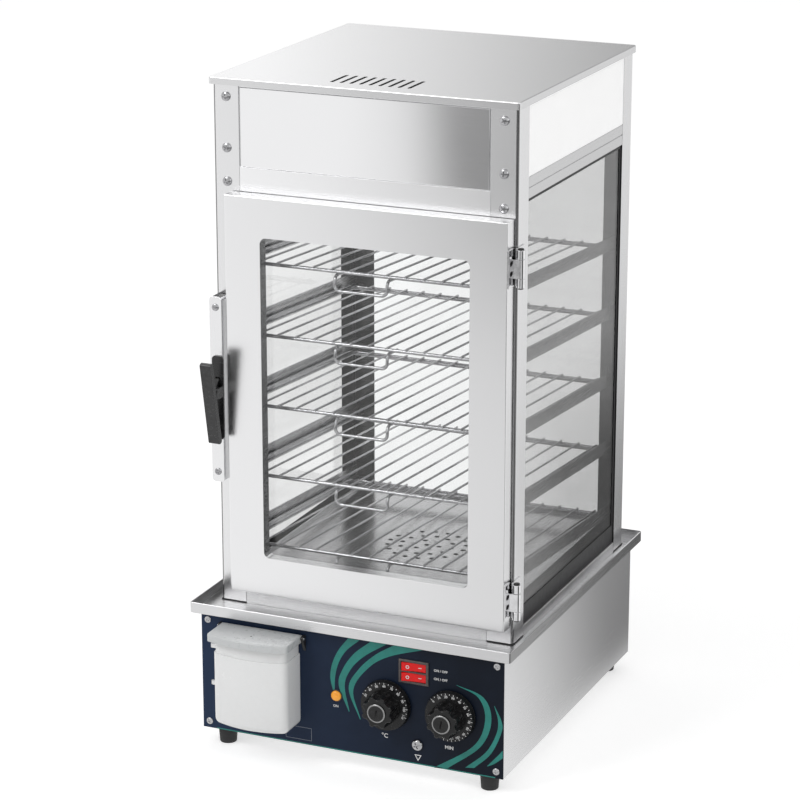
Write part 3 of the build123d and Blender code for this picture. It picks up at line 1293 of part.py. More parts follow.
def make_shelves():
    """Welded wire shelf, drawn flat once and set on each pair of rails."""
    half_wires = (SHELF_WIRE_COUNT - 1) / 2
    wire_z = SHELF_ROD + SHELF_WIRE_RISE
    wire_x = [(step - half_wires) * SHELF_WIRE_PITCH for step in range(SHELF_WIRE_COUNT)]
    side = SHELF_HALF_WIDTH
    rear_y = SHELF_DEPTH - SHELF_REAR_ROD_PITCH
    out = -SHELF_ROD - SHELF_HANDLE_OUT
    handle_back = SHELF_WIRE_PITCH
    handle_top = -SHELF_ROD - SHELF_HANDLE_WIRE - WELD_GAP
    handle = [
        (SHELF_HANDLE_LEFT, handle_back, handle_top), (SHELF_HANDLE_LEFT, out, handle_top),
        (SHELF_HANDLE_LEFT, out, -SHELF_HANDLE_DROP), (SHELF_HANDLE_RIGHT, out, -SHELF_HANDLE_DROP),
        (SHELF_HANDLE_RIGHT, out, handle_top), (SHELF_HANDLE_RIGHT, handle_back, handle_top),
    ]
    with BuildPart() as shelf:
        with BuildLine() as frame_line:
            FilletPolyline((side, 0), (side, SHELF_DEPTH), (-side, SHELF_DEPTH), (-side, 0),
                           radius=SHELF_CORNER, close=True)
        frame_path = frame_line.wire()
        with BuildSketch(Plane(origin=frame_path @ 0, z_dir=frame_path % 0)):
            Circle(SHELF_ROD)
        sweep(path=frame_path)
        rod((-side, rear_y, 0), (side, rear_y, 0), SHELF_REAR_ROD)
        with Locations(*[(x, SHELF_DEPTH / 2, wire_z) for x in wire_x]):
            Cylinder(SHELF_WIRE, SHELF_DEPTH + 2 * (SHELF_ROD + SHELF_WIRE_NUB), rotation=(90, 0, 0))
        with BuildLine() as handle_line:
            FilletPolyline(*handle, radius=SHELF_HANDLE_BEND)
        with BuildSketch(Plane(origin=handle[0], z_dir=(0, -1, 0))):
            Circle(SHELF_HANDLE_WIRE)
        sweep(path=handle_line.wire())
    for index in range(SHELF_COUNT):
        placed = shelf.part.moved(shelf_plane(index).location)
        placed.label = f"shelf_{index + 1}"
        export_step(placed, f"parts/{placed.label}.step")


# Door

def door_opening(grow, corner, mode=Mode.ADD):
    """Rounded window outline of the door, grown or shrunk on every side."""
    width = door_right - door_left - 2 * DOOR_SIDE_MARGIN + 2 * grow
    height = DOOR_HEIGHT - 2 * DOOR_TOP_MARGIN + 2 * grow
    with Locations(((door_left + door_right) / 2, (door_bottom + door_top) / 2)):
        RectangleRounded(width, height, corner, mode=mode)


def make_door_skin():
    width = door_right - door_left
    centre = ((door_left + door_right) / 2, (door_bottom + door_top) / 2)
    depth = door_back - door_front
    wall_plane = Plane.XZ.offset(-door_back)
    with BuildPart() as door_skin:
        with BuildSketch(wall_plane):
            with Locations(centre):
                Rectangle(width, DOOR_HEIGHT)
        extrude(amount=depth)
        fillet(door_skin.faces().sort_by(Axis.Y)[0].edges(), DOOR_SHEET)
        with BuildSketch(wall_plane):
            with Locations(centre):
                Rectangle(width - 2 * DOOR_SHEET, DOOR_HEIGHT - 2 * DOOR_SHEET)
            door_opening(DOOR_SHEET, DOOR_CORNER + DOOR_SHEET, Mode.SUBTRACT)
        extrude(amount=depth - DOOR_SHEET, mode=Mode.SUBTRACT)
        with BuildSketch(wall_plane):
            door_opening(0, DOOR_CORNER)
        extrude(amount=depth, mode=Mode.SUBTRACT)
        with BuildSketch(wall_plane):
            door_opening(2 * DOOR_SHEET, DOOR_CORNER)
        extrude(amount=DOOR_LINER_SHEET + GLASS, mode=Mode.SUBTRACT)
        for x, y, level in door_leaf_screw_places():
            rod((x - 2 * DOOR_SHEET, y, level), (x + 1, y, level), HINGE_SCREW + SCREW_CLEARANCE,
                Mode.SUBTRACT)
    save(door_skin, "door_skin")


def make_door_glass():
    with BuildPart() as door_glass:
        with BuildSketch(Plane.XZ.offset(-door_back + DOOR_LINER_SHEET)):
            door_opening(DOOR_GLASS_LAP, DOOR_CORNER)
        extrude(amount=GLASS)
    save(door_glass, "door_glass")


def make_door_liner():
    gap = DOOR_SHEET + SCREW_CLEARANCE
    centre = ((door_left + door_right) / 2, (door_bottom + door_top) / 2)
    with BuildPart() as door_liner:
        with BuildSketch(Plane.XZ.offset(-door_back)):
            with Locations(centre):
                Rectangle(door_right - door_left - 2 * gap, DOOR_HEIGHT - 2 * gap)
            door_opening(DOOR_LINER_INSET, DOOR_CORNER, Mode.SUBTRACT)
        extrude(amount=DOOR_LINER_SHEET)
    save(door_liner, "door_liner")


def make_door_gasket():
    left = door_left + DOOR_GASKET_LEFT
    right = door_right - DOOR_GASKET_RIGHT
    low = door_bottom + DOOR_GASKET_END
    high = door_top - DOOR_GASKET_END
    centre = ((left + right) / 2, (low + high) / 2)
    with BuildPart() as door_gasket:
        with BuildSketch(Plane.XZ.offset(-door_back - DOOR_GASKET)):
            with Locations(centre):
                RectangleRounded(right - left, high - low, DOOR_GASKET_CORNER)
                RectangleRounded(right - left - 2 * DOOR_GASKET_WIDTH,
                                 high - low - 2 * DOOR_GASKET_WIDTH, DOOR_GASKET_WIDTH / 2,
                                 mode=Mode.SUBTRACT)
        extrude(amount=DOOR_GASKET)
    save(door_gasket, "door_gasket")


# Hinges

def door_leaf_screw_places():
    y = hinge_y - HINGE_SCREW_FORWARD
    return [(door_right, y, level + step * HINGE_SCREW_PITCH / 2)
            for level in hinge_levels() for step in (-1, 1)]


def make_door_hinge_leaves():
    mid = HINGE_MID_LENGTH / 2
    half = HINGE_LENGTH / 2
    leaf_y = (door_front + 1, door_front + 1 + HINGE_DOOR_LEAF_DEPTH)
    with BuildPart() as door_hinge_leaves:
        for level in hinge_levels():
            block((door_right, door_right + HINGE_LEAF), leaf_y, (level - half, level + half))
            block((door_right, hinge_x), (hinge_y - HINGE_BARREL, hinge_y - HINGE_BARREL + HINGE_LEAF),
                  (level - mid, level + mid))
            rod((hinge_x, hinge_y, level - mid), (hinge_x, hinge_y, level + mid), HINGE_BARREL)
            rod((hinge_x, hinge_y, level - mid - 1), (hinge_x, hinge_y, level + mid + 1),
                HINGE_PIN + HINGE_RUNNING_FIT, Mode.SUBTRACT)
        for x, y, level in door_leaf_screw_places():
            rod((x - 1, y, level), (x + HINGE_LEAF + 1, y, level), HINGE_SCREW_HEAD + HINGE_HEAD_GAP,
                Mode.SUBTRACT)
    save(door_hinge_leaves, "door_hinge_leaves")


def make_post_hinge_leaves():
    half = HINGE_LENGTH / 2
    end = HINGE_MID_LENGTH / 2 + HINGE_KNUCKLE_GAP
    web_back = hinge_y + HINGE_BARREL
    web_front = web_back - HINGE_LEAF
    with BuildPart() as post_hinge_leaves:
        for level in hinge_levels():
            block((cab_side, cab_side + HINGE_LEAF), (web_front, web_front + HINGE_POST_LEAF_DEPTH),
                  (level - half, level + half))
            for low, high in ((level - half, level - end), (level + end, level + half)):
                block((cab_side, hinge_x), (web_front, web_back), (low, high))
                rod((hinge_x, hinge_y, low), (hinge_x, hinge_y, high), HINGE_BARREL)
                rod((hinge_x, hinge_y, low - 1), (hinge_x, hinge_y, high + 1), HINGE_PIN, Mode.SUBTRACT)
            y = cab_front + HINGE_FORWARD
            screw_z = level - HINGE_SCREW_DROP
            rod((cab_side - 1, y, screw_z), (cab_side + HINGE_LEAF + 1, y, screw_z),
                HINGE_SCREW + SCREW_CLEARANCE, Mode.SUBTRACT)
    save(post_hinge_leaves, "post_hinge_leaves")


def make_hinge_pins():
    half = HINGE_LENGTH / 2
    with BuildPart() as hinge_pins:
        for level in hinge_levels():
            rod((hinge_x, hinge_y, level - half), (hinge_x, hinge_y, level + half), HINGE_PIN)
            for seat, way in ((level - half, -1), (level + half, 1)):
                rod((hinge_x, hinge_y, seat), (hinge_x, hinge_y, seat + way * HINGE_CAP_HEIGHT),
                    HINGE_CAP_RADIUS)
    save(hinge_pins, "hinge_pins")


# Latch

def latch_slot():
    """Height span of the slot that the latch hook swings in."""
    return (pivot_z + LATCH_SLOT_GAP / 2, pivot_z + LATCH_HOOK_RISE + LATCH_SLOT_GAP)


def cut_latch_slot():
    half = LATCH_HOOK_WIDTH / 2 + LATCH_SLOT_GAP / 2
    block((lever_x - half, lever_x + half), (latch_front - LATCH_PLATE - 1, latch_front + LATCH_WALL + 1),
          latch_slot(), Mode.SUBTRACT)


def make_latch_channel():
    half = LATCH_LENGTH / 2
    z = (latch_z - half, latch_z + half)
    right = latch_left + LATCH_WIDTH
    with BuildPart() as latch_channel:
        block((latch_left, right), (latch_front, cab_front - LATCH_BACK_GAP), z)
        front_edges = latch_channel.edges().filter_by(Axis.Y)
        fillet(front_edges, LATCH_CORNER)
        block((latch_left + LATCH_WALL, right - LATCH_WALL), (latch_front + LATCH_WALL, cab_front), z,
              Mode.SUBTRACT)
        block((right - LATCH_WALL, right + CUT_PAST), (door_back, cab_front), z, Mode.SUBTRACT)
        block((right - LATCH_WALL / 2, door_left), (door_front + 2, door_back - 2),
              (z[0] + LATCH_CORNER, z[1] - LATCH_CORNER))
        cut_latch_slot()
        for level in latch_screw_levels():
            rod((latch_mid, latch_front - 1, level), (latch_mid, latch_front + LATCH_WALL + 1, level),
                LATCH_SCREW_RADIUS + SCREW_CLEARANCE, Mode.SUBTRACT)
    save(latch_channel, "latch_channel")


def latch_screw_levels():
    return [latch_z - LATCH_SCREW_PITCH / 2, latch_z + LATCH_SCREW_PITCH / 2]


def make_latch_base():
    half = LATCH_PLATE_WIDTH / 2
    plate_z = latch_z - LATCH_PLATE_DROP
    ear_out = LATCH_LEVER_WIDTH / 2
    block_x = (latch_left + LATCH_WALL, latch_left + LATCH_WIDTH - LATCH_WALL)
    with BuildPart() as latch_base:
        with BuildSketch(Plane.XZ.offset(-latch_front)):
            with Locations((lever_x, plate_z)):
                RectangleRounded(LATCH_PLATE_WIDTH, LATCH_PLATE_LENGTH, LATCH_CORNER)
        extrude(amount=LATCH_PLATE)
        for x in ((lever_x - ear_out, lever_x - ear_out + LATCH_EAR),
                  (lever_x + ear_out - LATCH_EAR, lever_x + ear_out)):
            block(x, (pivot_y, latch_front - LATCH_PLATE),
                  (pivot_z - LATCH_EAR_RADIUS, pivot_z + LATCH_EAR_RADIUS))
            rod((x[0], pivot_y, pivot_z), (x[1], pivot_y, pivot_z), LATCH_EAR_RADIUS)
        rod((lever_x - half, pivot_y, pivot_z), (lever_x + half, pivot_y, pivot_z),
            LATCH_PIN + HINGE_RUNNING_FIT, Mode.SUBTRACT)
        cut_latch_slot()
        for level in latch_screw_levels():
            block(block_x, (latch_front + LATCH_WALL, door_back),
                  (level - LATCH_BLOCK / 2, level + LATCH_BLOCK / 2))
            rod((latch_mid, latch_front, level), (latch_mid, latch_front + LATCH_SCREW_HOLE, level),
                LATCH_SCREW_RADIUS + SCREW_CLEARANCE, Mode.SUBTRACT)
    save(latch_base, "latch_base")


def make_door_screws():
    with BuildPart() as door_screws:
        for level in latch_screw_levels():
            pan_head((latch_mid, latch_front, level), (0, -1, 0), LATCH_SCREW_HEAD, LATCH_SCREW_RADIUS,
                     LATCH_SCREW_HEAD_THICKNESS, LATCH_SCREW_LENGTH)
        for x, y, level in door_leaf_screw_places():
            rod((x, y, level), (x + HINGE_LEAF_HEAD, y, level), HINGE_SCREW_HEAD)
            rod((x - HINGE_LEAF_SCREW_LENGTH, y, level), (x, y, level), HINGE_SCREW)
    save(door_screws, "door_screws")


def make_latch_lever():
    """Rocking lever with its pin, and the hook that reaches into the channel."""
    tilt = radians(LATCH_LEVER_TILT)
    grip_back = -LATCH_EAR_RADIUS - LATCH_EAR_GAP
    grip_middle = grip_back - LATCH_LEVER_THICKNESS / 2
    neck = LATCH_LEVER_WIDTH / 2 - LATCH_EAR - LATCH_EAR_GAP
    side_plane = Plane(origin=(lever_x, pivot_y, pivot_z), x_dir=(0, 1, 0), z_dir=(1, 0, 0))
    tilted = Plane(origin=side_plane.origin, x_dir=(0, cos(tilt), sin(tilt)), z_dir=(1, 0, 0))
    arm_under = LATCH_HOOK_TIP + LATCH_HOOK_ROOT
    arm_start = LATCH_HOOK_REACH / 3
    finger = LATCH_HOOK_REACH - LATCH_HOOK_FINGER
    hook = [
        (0, -LATCH_PIN), (arm_start, arm_under), (finger, arm_under), (finger, LATCH_HOOK_TIP),
        (LATCH_HOOK_REACH, LATCH_HOOK_TIP), (LATCH_HOOK_REACH, LATCH_HOOK_RISE),
        (arm_start - LATCH_PIN, LATCH_HOOK_RISE), (0, LATCH_EAR_RADIUS), (0, -LATCH_PIN),
    ]
    with BuildPart() as latch_lever:
        with BuildSketch(tilted):
            Circle(LATCH_HUB)
            with Locations((grip_middle, (LATCH_LEVER_UP - LATCH_LEVER_DOWN) / 2)):
                RectangleRounded(LATCH_LEVER_THICKNESS, LATCH_LEVER_UP + LATCH_LEVER_DOWN, LATCH_GRIP_ROUND)
        extrude(amount=neck, both=True)
        with BuildSketch(tilted):
            with Locations((grip_middle, (LATCH_LEVER_UP - LATCH_LEVER_DOWN) / 2)):
                RectangleRounded(LATCH_LEVER_THICKNESS, LATCH_LEVER_UP + LATCH_LEVER_DOWN, LATCH_GRIP_ROUND)
        extrude(amount=LATCH_LEVER_WIDTH / 2, both=True)
        with BuildSketch(side_plane):
            with BuildLine():
                Polyline(*hook)
            make_face()
        extrude(amount=LATCH_HOOK_WIDTH / 2, both=True)
        rod((lever_x - LATCH_LEVER_WIDTH / 2, pivot_y, pivot_z),
            (lever_x + LATCH_LEVER_WIDTH / 2, pivot_y, pivot_z), LATCH_PIN)
    save(latch_lever, "latch_lever")


def make_latch_strike():
    x = (latch_mid - STRIKE_WIDTH / 2, latch_mid + STRIKE_WIDTH / 2)
    shelf_z = pivot_z - STRIKE_DROP
    with BuildPart() as latch_strike:
        block(x, (cab_front - FRAME_SHEET, cab_front), (shelf_z - STRIKE_PLATE, shelf_z + FRAME_SHEET))
        block(x, (cab_front - STRIKE_REACH, cab_front), (shelf_z, shelf_z + FRAME_SHEET))
        block(x, (cab_front - STRIKE_REACH, cab_front - STRIKE_REACH + FRAME_SHEET),
              (shelf_z, shelf_z + STRIKE_LIP))
        rivet_y = cab_front - FRAME_SHEET
        rivet_z = shelf_z - STRIKE_PLATE / 2
        rod((latch_mid, rivet_y, rivet_z), (latch_mid, rivet_y - STRIKE_RIVET_HEAD, rivet_z), STRIKE_RIVET)
    save(latch_strike, "latch_strike")


STEPS = [
    make_base_shell, make_base_bottom, make_feet, make_base_screws, make_front_panel, make_top_tray,
    make_water_pan, make_heating_element, make_feed_pipe, make_drain_pipe, make_drain_valve,
    make_drain_valve_handle, make_water_box, make_water_box_lid, make_capillary_bulb,
    make_switch_housing, make_indicator_lamp, make_ground_terminal, make_terminal_block,
    make_cable_gland, make_posts, make_bottom_rails, make_side_top_rails, make_header_frame,
    make_sign_panel, make_frame_screws, make_lamp_side_panels, make_rear_top_panel,
    make_ceiling_plate, make_lamp_tube, make_lamp_holders, make_lid, make_side_glass,
    make_rear_glass, make_glass_gaskets, make_steam_plate, make_shelf_rails, make_door_skin,
    make_door_glass, make_door_liner, make_door_gasket, make_door_hinge_leaves,
    make_post_hinge_leaves, make_hinge_pins, make_latch_channel, make_latch_base,
    make_door_screws, make_latch_lever, make_latch_strike,
]
for step in STEPS:
    step()
make_knob("thermostat_knob", THERMOSTAT_X)
make_knob("timer_knob", TIMER_X)
make_control_body("thermostat_body", THERMOSTAT_X, THERMOSTAT_SIZE, THERMOSTAT_DEPTH)
make_control_body("timer_body", TIMER_X, TIMER_SIZE, TIMER_DEPTH)
make_rocker("rocker_lower", 0)
make_rocker("rocker_upper", 1)
make_shelves()
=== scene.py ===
import json
from math import atan2, cos, pi, radians, sin, tau

import bmesh
import bpy
from mathutils import Matrix, Vector


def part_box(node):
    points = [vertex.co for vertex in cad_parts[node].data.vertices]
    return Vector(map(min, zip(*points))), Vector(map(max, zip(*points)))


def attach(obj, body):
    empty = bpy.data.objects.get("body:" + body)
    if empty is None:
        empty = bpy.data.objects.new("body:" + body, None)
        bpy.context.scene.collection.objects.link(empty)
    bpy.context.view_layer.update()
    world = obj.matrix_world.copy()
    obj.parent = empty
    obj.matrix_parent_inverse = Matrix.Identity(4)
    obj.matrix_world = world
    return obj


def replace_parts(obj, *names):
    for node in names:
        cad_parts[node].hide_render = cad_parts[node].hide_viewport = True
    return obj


# The bun steamer display cabinet, in metres: X right, Y back, Z up.

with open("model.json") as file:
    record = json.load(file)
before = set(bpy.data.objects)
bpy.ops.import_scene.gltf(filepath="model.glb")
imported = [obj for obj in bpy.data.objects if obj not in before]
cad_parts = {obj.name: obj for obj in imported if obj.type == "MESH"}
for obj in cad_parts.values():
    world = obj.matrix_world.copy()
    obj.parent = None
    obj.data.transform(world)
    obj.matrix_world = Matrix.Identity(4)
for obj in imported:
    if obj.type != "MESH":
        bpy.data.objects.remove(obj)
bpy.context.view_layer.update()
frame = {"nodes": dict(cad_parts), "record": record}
scene = bpy.context.scene
record = frame["record"]
BODY = {node: body for body, nodes in record["behaviour"]["bodies"].items() for node in nodes}
MM = 0.001

# Camera at the photograph's viewing angle
CAMERA_PLACE = (1.2524, -2.9263, 1.3472)
CAMERA_TURN = radians(23.642)
CAMERA_DROP = radians(17.118)
CAMERA_LENS = 133.83

# Light levels
SKY_LEVEL = 0.62
KEY_POWER = 38.0
FILL_POWER = 10.0
FLOOR_LIFT = 0.45
STUDIO_TURN = radians(24)
WALL_DISTANCE = 0.95
WALL_HALF_WIDTH = 1.3
WALL_LOW = 0.80
WALL_HIGH = 2.2

# Shelves, repeated from the frame's own construction
SHELF_COUNT = 5
SHELF_PITCH = 80 * MM
SHELF_FIRST = Vector((0, -145 * MM, 226.5 * MM))
SHELF_TILT = radians(4)
SHELF_DEPTH = 295 * MM
SHELF_SIDE = 158.5 * MM
SHELF_ROD = 2.0 * MM
SHELF_REAR_ROD = 1.6 * MM
SHELF_REAR_ROD_INSET = 9 * MM
SHELF_WIRE = 1.25 * MM
SHELF_WIRE_COUNT = 15
SHELF_WIRE_PITCH = 21.4 * MM
SHELF_WIRE_NUB = 1.2 * MM
SHELF_CORNER = 8 * MM
WELD_GAP = 0.1 * MM
HANDLE_LEFT = -38 * MM
HANDLE_RIGHT = 23 * MM
HANDLE_DROP = 20 * MM
HANDLE_OUT = 5 * MM
HANDLE_WIRE = 1.75 * MM
HANDLE_BEND = 6 * MM

# Places on the front panel
PANEL_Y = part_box("front_panel")[0].y
KNOB_Z = 84.6 * MM
THERMOSTAT_X = 44 * MM
TIMER_X = 119.6 * MM
LAMP_X = -16 * MM
EARTH_X = 80.4 * MM
EARTH_Z = 43.2 * MM
SWITCH_X = 75.75 * MM
PRINT_THICKNESS = 0.06 * MM
LETTER_WEIGHT = 0.018


# Materials

GRAIN_SHARE = 0.65
SMUDGE_SHARE = 0.35
COLOUR_SPAN = (0.36, 0.64)
ROUGH_SPAN = (0.34, 0.66)
EDGE_SPAN = (0.52, 0.6)
WEAR_SPAN = (0.2, 0.9)
BRUSH_ACROSS = 700
BRUSH_ALONG = 4
BRUSH_DARK = 0.985
BRUSH_LIGHT = 1.012
STEEL_TINT = (1, 1, 1.01)
BRIGHTEST = 0.97
GLASS_IOR = 1.45


def new_tree(name):
    """An empty node material with its output node."""
    material = bpy.data.materials.new(name)
    material.use_nodes = True
    tree = material.node_tree
    tree.nodes.clear()
    output = tree.nodes.new("ShaderNodeOutputMaterial")
    return material, tree, output


def feed(tree, socket, source):
    """Gives a socket a fixed value, or links it to a node's output."""
    if isinstance(source, bpy.types.NodeSocket):
        tree.links.new(source, socket)
    else:
        socket.default_value = source


def new_node(tree, kind, **sources):
    """A shader node with a value or a link for each named input."""
    node = tree.nodes.new("ShaderNode" + kind)
    for name, source in sources.items():
        feed(tree, node.inputs[name.replace("_", " ")], source)
    return node


def own_place(tree):
    """Places in the object's own space."""
    return new_node(tree, "TexCoord").outputs["Object"]


def split(tree, place):
    """The X, Y and Z of a place."""
    return new_node(tree, "SeparateXYZ", Vector=place).outputs


def pattern(tree, stretch, scale, detail=6.0, roughness=0.6):
    """Noise in the object's own space, stretched along the grain."""
    mapping = new_node(tree, "Mapping", Vector=own_place(tree), Scale=stretch)
    noise = new_node(tree, "TexNoise", Vector=mapping.outputs["Vector"], Scale=scale, Detail=detail,
                     Roughness=roughness)
    return noise.outputs["Fac"]


def spread(tree, value, low, high, start=0.3, end=0.7):
    """Maps a pattern's middle range to the span low to high."""
    node = new_node(tree, "MapRange", Value=value, From_Min=start, From_Max=end, To_Min=low, To_Max=high)
    return node.outputs["Result"]


def blend_colours(tree, value, low, high):
    """A colour between low and high, each a colour or a node's output."""
    node = tree.nodes.new("ShaderNodeMix")
    node.data_type = "RGBA"
    for name, source in (("Factor", value), ("A", low), ("B", high)):
        feed(tree, node.inputs[name], (*source, 1) if isinstance(source, (tuple, list)) else source)
    return node.outputs["Result"]


def blend_shaders(tree, value, first, second):
    """The first shader where value is 0, the second where it is 1."""
    node = tree.nodes.new("ShaderNodeMixShader")
    for socket, source in zip(node.inputs, (value, first, second)):
        tree.links.new(source, socket)
    return node.outputs["Shader"]


def total(tree, first, second, kind="ADD"):
    """Adds two values, or joins them by another operation."""
    node = tree.nodes.new("ShaderNodeMath")
    node.operation = kind
    feed(tree, node.inputs[0], first)
    feed(tree, node.inputs[1], second)
    return node.outputs[0]


def product(tree, first, second):
    return total(tree, first, second, "MULTIPLY")


def add_bump(tree, shader, height, strength, distance):
    bump = new_node(tree, "Bump", Strength=strength, Distance=distance, Height=height)
    tree.links.new(bump.outputs["Normal"], shader.inputs["Normal"])


def finish_of(name, dark, light, rough, stretch=(1, 1, 1), scale=60, smudge=7, bump=0.15,
              relief=0.00005, wear=None, **sockets):
    """A surface with a fine pattern, broad smudges and a relief, all from nodes."""
    material, tree, output = new_tree(name)
    grain = pattern(tree, stretch, scale)
    marks = pattern(tree, (1, 1, 1), smudge, 4.0)
    mixed = total(tree, product(tree, grain, GRAIN_SHARE), product(tree, marks, SMUDGE_SHARE))
    colour = blend_colours(tree, spread(tree, mixed, 0, 1, *COLOUR_SPAN), dark, light)
    if wear:
        geometry = new_node(tree, "NewGeometry")
        edge = spread(tree, geometry.outputs["Pointiness"], 0, 1, *EDGE_SPAN)
        colour = blend_colours(tree, product(tree, edge, spread(tree, grain, *WEAR_SPAN)), colour, wear)
    shader = new_node(tree, "BsdfPrincipled", Base_Color=colour,
                      Roughness=spread(tree, mixed, *rough, *ROUGH_SPAN), **sockets)
    add_bump(tree, shader, grain, bump, relief)
    tree.links.new(shader.outputs["BSDF"], output.inputs["Surface"])
    return material


def brushed(name, level, rough, along):
    """Sheet steel ground along one axis."""
    stretch = [BRUSH_ACROSS] * 3
    stretch["XYZ".index(along)] = BRUSH_ALONG
    dark = [level * BRUSH_DARK * share for share in STEEL_TINT]
    light = [min(level * BRUSH_LIGHT, BRIGHTEST) * share / max(STEEL_TINT) for share in STEEL_TINT]
    return finish_of(name, dark, light, rough, stretch, 5.0, bump=0.006, relief=0.00001, Metallic=1.0)


def clear_glass(name, tint, left_tint=None):
    """A clear pane that lets the lamps through to what stands behind it. With left_tint, the pane on the
    left of the object takes left_tint and the pane on the right the darker tint, as painted shade."""
    material, tree, output = new_tree(name)
    smears = pattern(tree, (1, 1, 0.4), 11, 5.0)
    colour = blend_colours(tree, spread(tree, smears, 0, 1), tint, [min(1, c * 1.03) for c in tint])
    if left_tint:
        x = split(tree, own_place(tree))["X"]
        colour = blend_colours(tree, spread(tree, x, 0, 1, -0.05, 0.05), left_tint, colour)
    shader = new_node(tree, "BsdfPrincipled", Transmission_Weight=1.0, IOR=GLASS_IOR, Base_Color=colour,
                      Roughness=spread(tree, smears, 0.0, 0.03, 0.45, 0.75))
    clear = new_node(tree, "BsdfTransparent", Color=(*tint, 1))
    path = new_node(tree, "LightPath")
    surface = blend_shaders(tree, path.outputs["Is Shadow Ray"], shader.outputs["BSDF"],
                            clear.outputs["BSDF"])
    tree.links.new(surface, output.inputs["Surface"])
    return material


def printed_panel(name):
    """Dark blue printed front, paler to the left."""
    material, tree, output = new_tree(name)
    across = spread(tree, split(tree, own_place(tree))["X"], 0, 1, -0.18, 0.13)
    grain = pattern(tree, (1, 1, 1), 45, 8.0)
    uneven = total(tree, across, spread(tree, grain, -0.06, 0.06))
    colour = blend_colours(tree, uneven, (0.018, 0.034, 0.076), (0.0042, 0.0075, 0.0155))
    shader = new_node(tree, "BsdfPrincipled", Base_Color=colour, Roughness=spread(tree, grain, 0.36, 0.46),
                      Specular_IOR_Level=0.15)
    add_bump(tree, shader, grain, 0.06, 0.00003)
    tree.links.new(shader.outputs["BSDF"], output.inputs["Surface"])
    return material


def glowing(name, dark, light, rough, colour, strength, **sockets):
    """A pale or lit surface with a little light of its own."""
    return finish_of(name, dark, light, rough, bump=0.05, Emission_Color=(*colour, 1),
                     Emission_Strength=strength, **sockets)


STEEL_X = brushed("satin_steel_across", 0.68, (0.26, 0.30), "X")
HEADER_STEEL = brushed("header_steel", 0.90, (0.22, 0.26), "X")
STEEL_Y = brushed("satin_steel_deep", 0.64, (0.24, 0.28), "Y")
STEEL_Z = brushed("satin_steel_upright", 0.78, (0.22, 0.26), "Z")
# Painted dark reflection: a darker copy of the steel for the bends of the posts.
PAINTED_BEND_REFLECTION = brushed("painted_bend_reflection", 0.24, (0.22, 0.26), "Z")
# Painted shade: a darker copy of the steel for the right-facing side of the top tray.
SHADED_TRAY_SIDE_STEEL = brushed("shaded_tray_side_steel", 0.24, (0.26, 0.30), "Y")
DOOR_STEEL = brushed("door_steel", 0.82, (0.22, 0.25), "Z")
LID_STEEL = brushed("lid_steel", 0.71, (0.23, 0.27), "X")
SIGN_STEEL = brushed("sign_steel", 0.82, (0.06, 0.10), "X")
INNER_STEEL = brushed("inner_steel", 0.50, (0.18, 0.26), "X")
# Painted shade and light on the shelf rails: this dark copy of the rail steel, with a lit copy for the rails
# on the left.
SHADED_RAIL_STEEL = brushed("shaded_rail_steel", 0.25, (0.22, 0.30), "Y")
LIT_RAIL_STEEL = brushed("lit_rail_steel", 0.58, (0.22, 0.30), "Y")
SHADED_STEEL = brushed("shaded_steel", 0.10, (0.22, 0.30), "Z")
CHROME = finish_of("chrome", (0.70, 0.70, 0.71), (0.84, 0.84, 0.85), (0.07, 0.17), scale=140,
                   bump=0.05, Metallic=1.0)
WIRE = finish_of("plated_wire", (0.30, 0.30, 0.31), (0.52, 0.52, 0.53), (0.10, 0.22), scale=220,
                 bump=0.08, Metallic=1.0)
SCREW_STEEL = finish_of("screw_steel", (0.34, 0.34, 0.35), (0.50, 0.50, 0.51), (0.08, 0.16), scale=140,
                         bump=0.05, Metallic=1.0)
BRASS = finish_of("brass", (0.55, 0.38, 0.15), (0.72, 0.52, 0.24), (0.22, 0.36), scale=90, Metallic=1.0)
COPPER = finish_of("copper", (0.66, 0.32, 0.20), (0.80, 0.45, 0.30), (0.25, 0.4), scale=90, Metallic=1.0)
ELEMENT = finish_of("heat_tinted", (0.16, 0.14, 0.13), (0.34, 0.32, 0.30), (0.35, 0.55), scale=70,
                    Metallic=1.0)
RUBBER = finish_of("black_rubber", (0.010, 0.010, 0.011), (0.026, 0.026, 0.027), (0.62, 0.82),
                   scale=260, bump=0.3, relief=0.0001, wear=(0.07, 0.07, 0.07))
SEAL = finish_of("black_seal", (0.008, 0.008, 0.009), (0.020, 0.020, 0.021), (0.45, 0.62), scale=200,
                 bump=0.2)
PALE_SEAL = finish_of("pale_seal", (0.40, 0.40, 0.40), (0.52, 0.52, 0.52), (0.5, 0.65), scale=120)
KNOB_BLACK = finish_of("knob_black", (0.006, 0.006, 0.006), (0.013, 0.013, 0.014), (0.20, 0.30),
                       scale=240, bump=0.08, relief=0.00004, wear=(0.06, 0.06, 0.06),
                       Specular_IOR_Level=0.32)
LATCH_BLACK = finish_of("latch_black", (0.008, 0.008, 0.009), (0.018, 0.018, 0.019), (0.18, 0.32),
                        scale=160, bump=0.12, wear=(0.08, 0.08, 0.08))
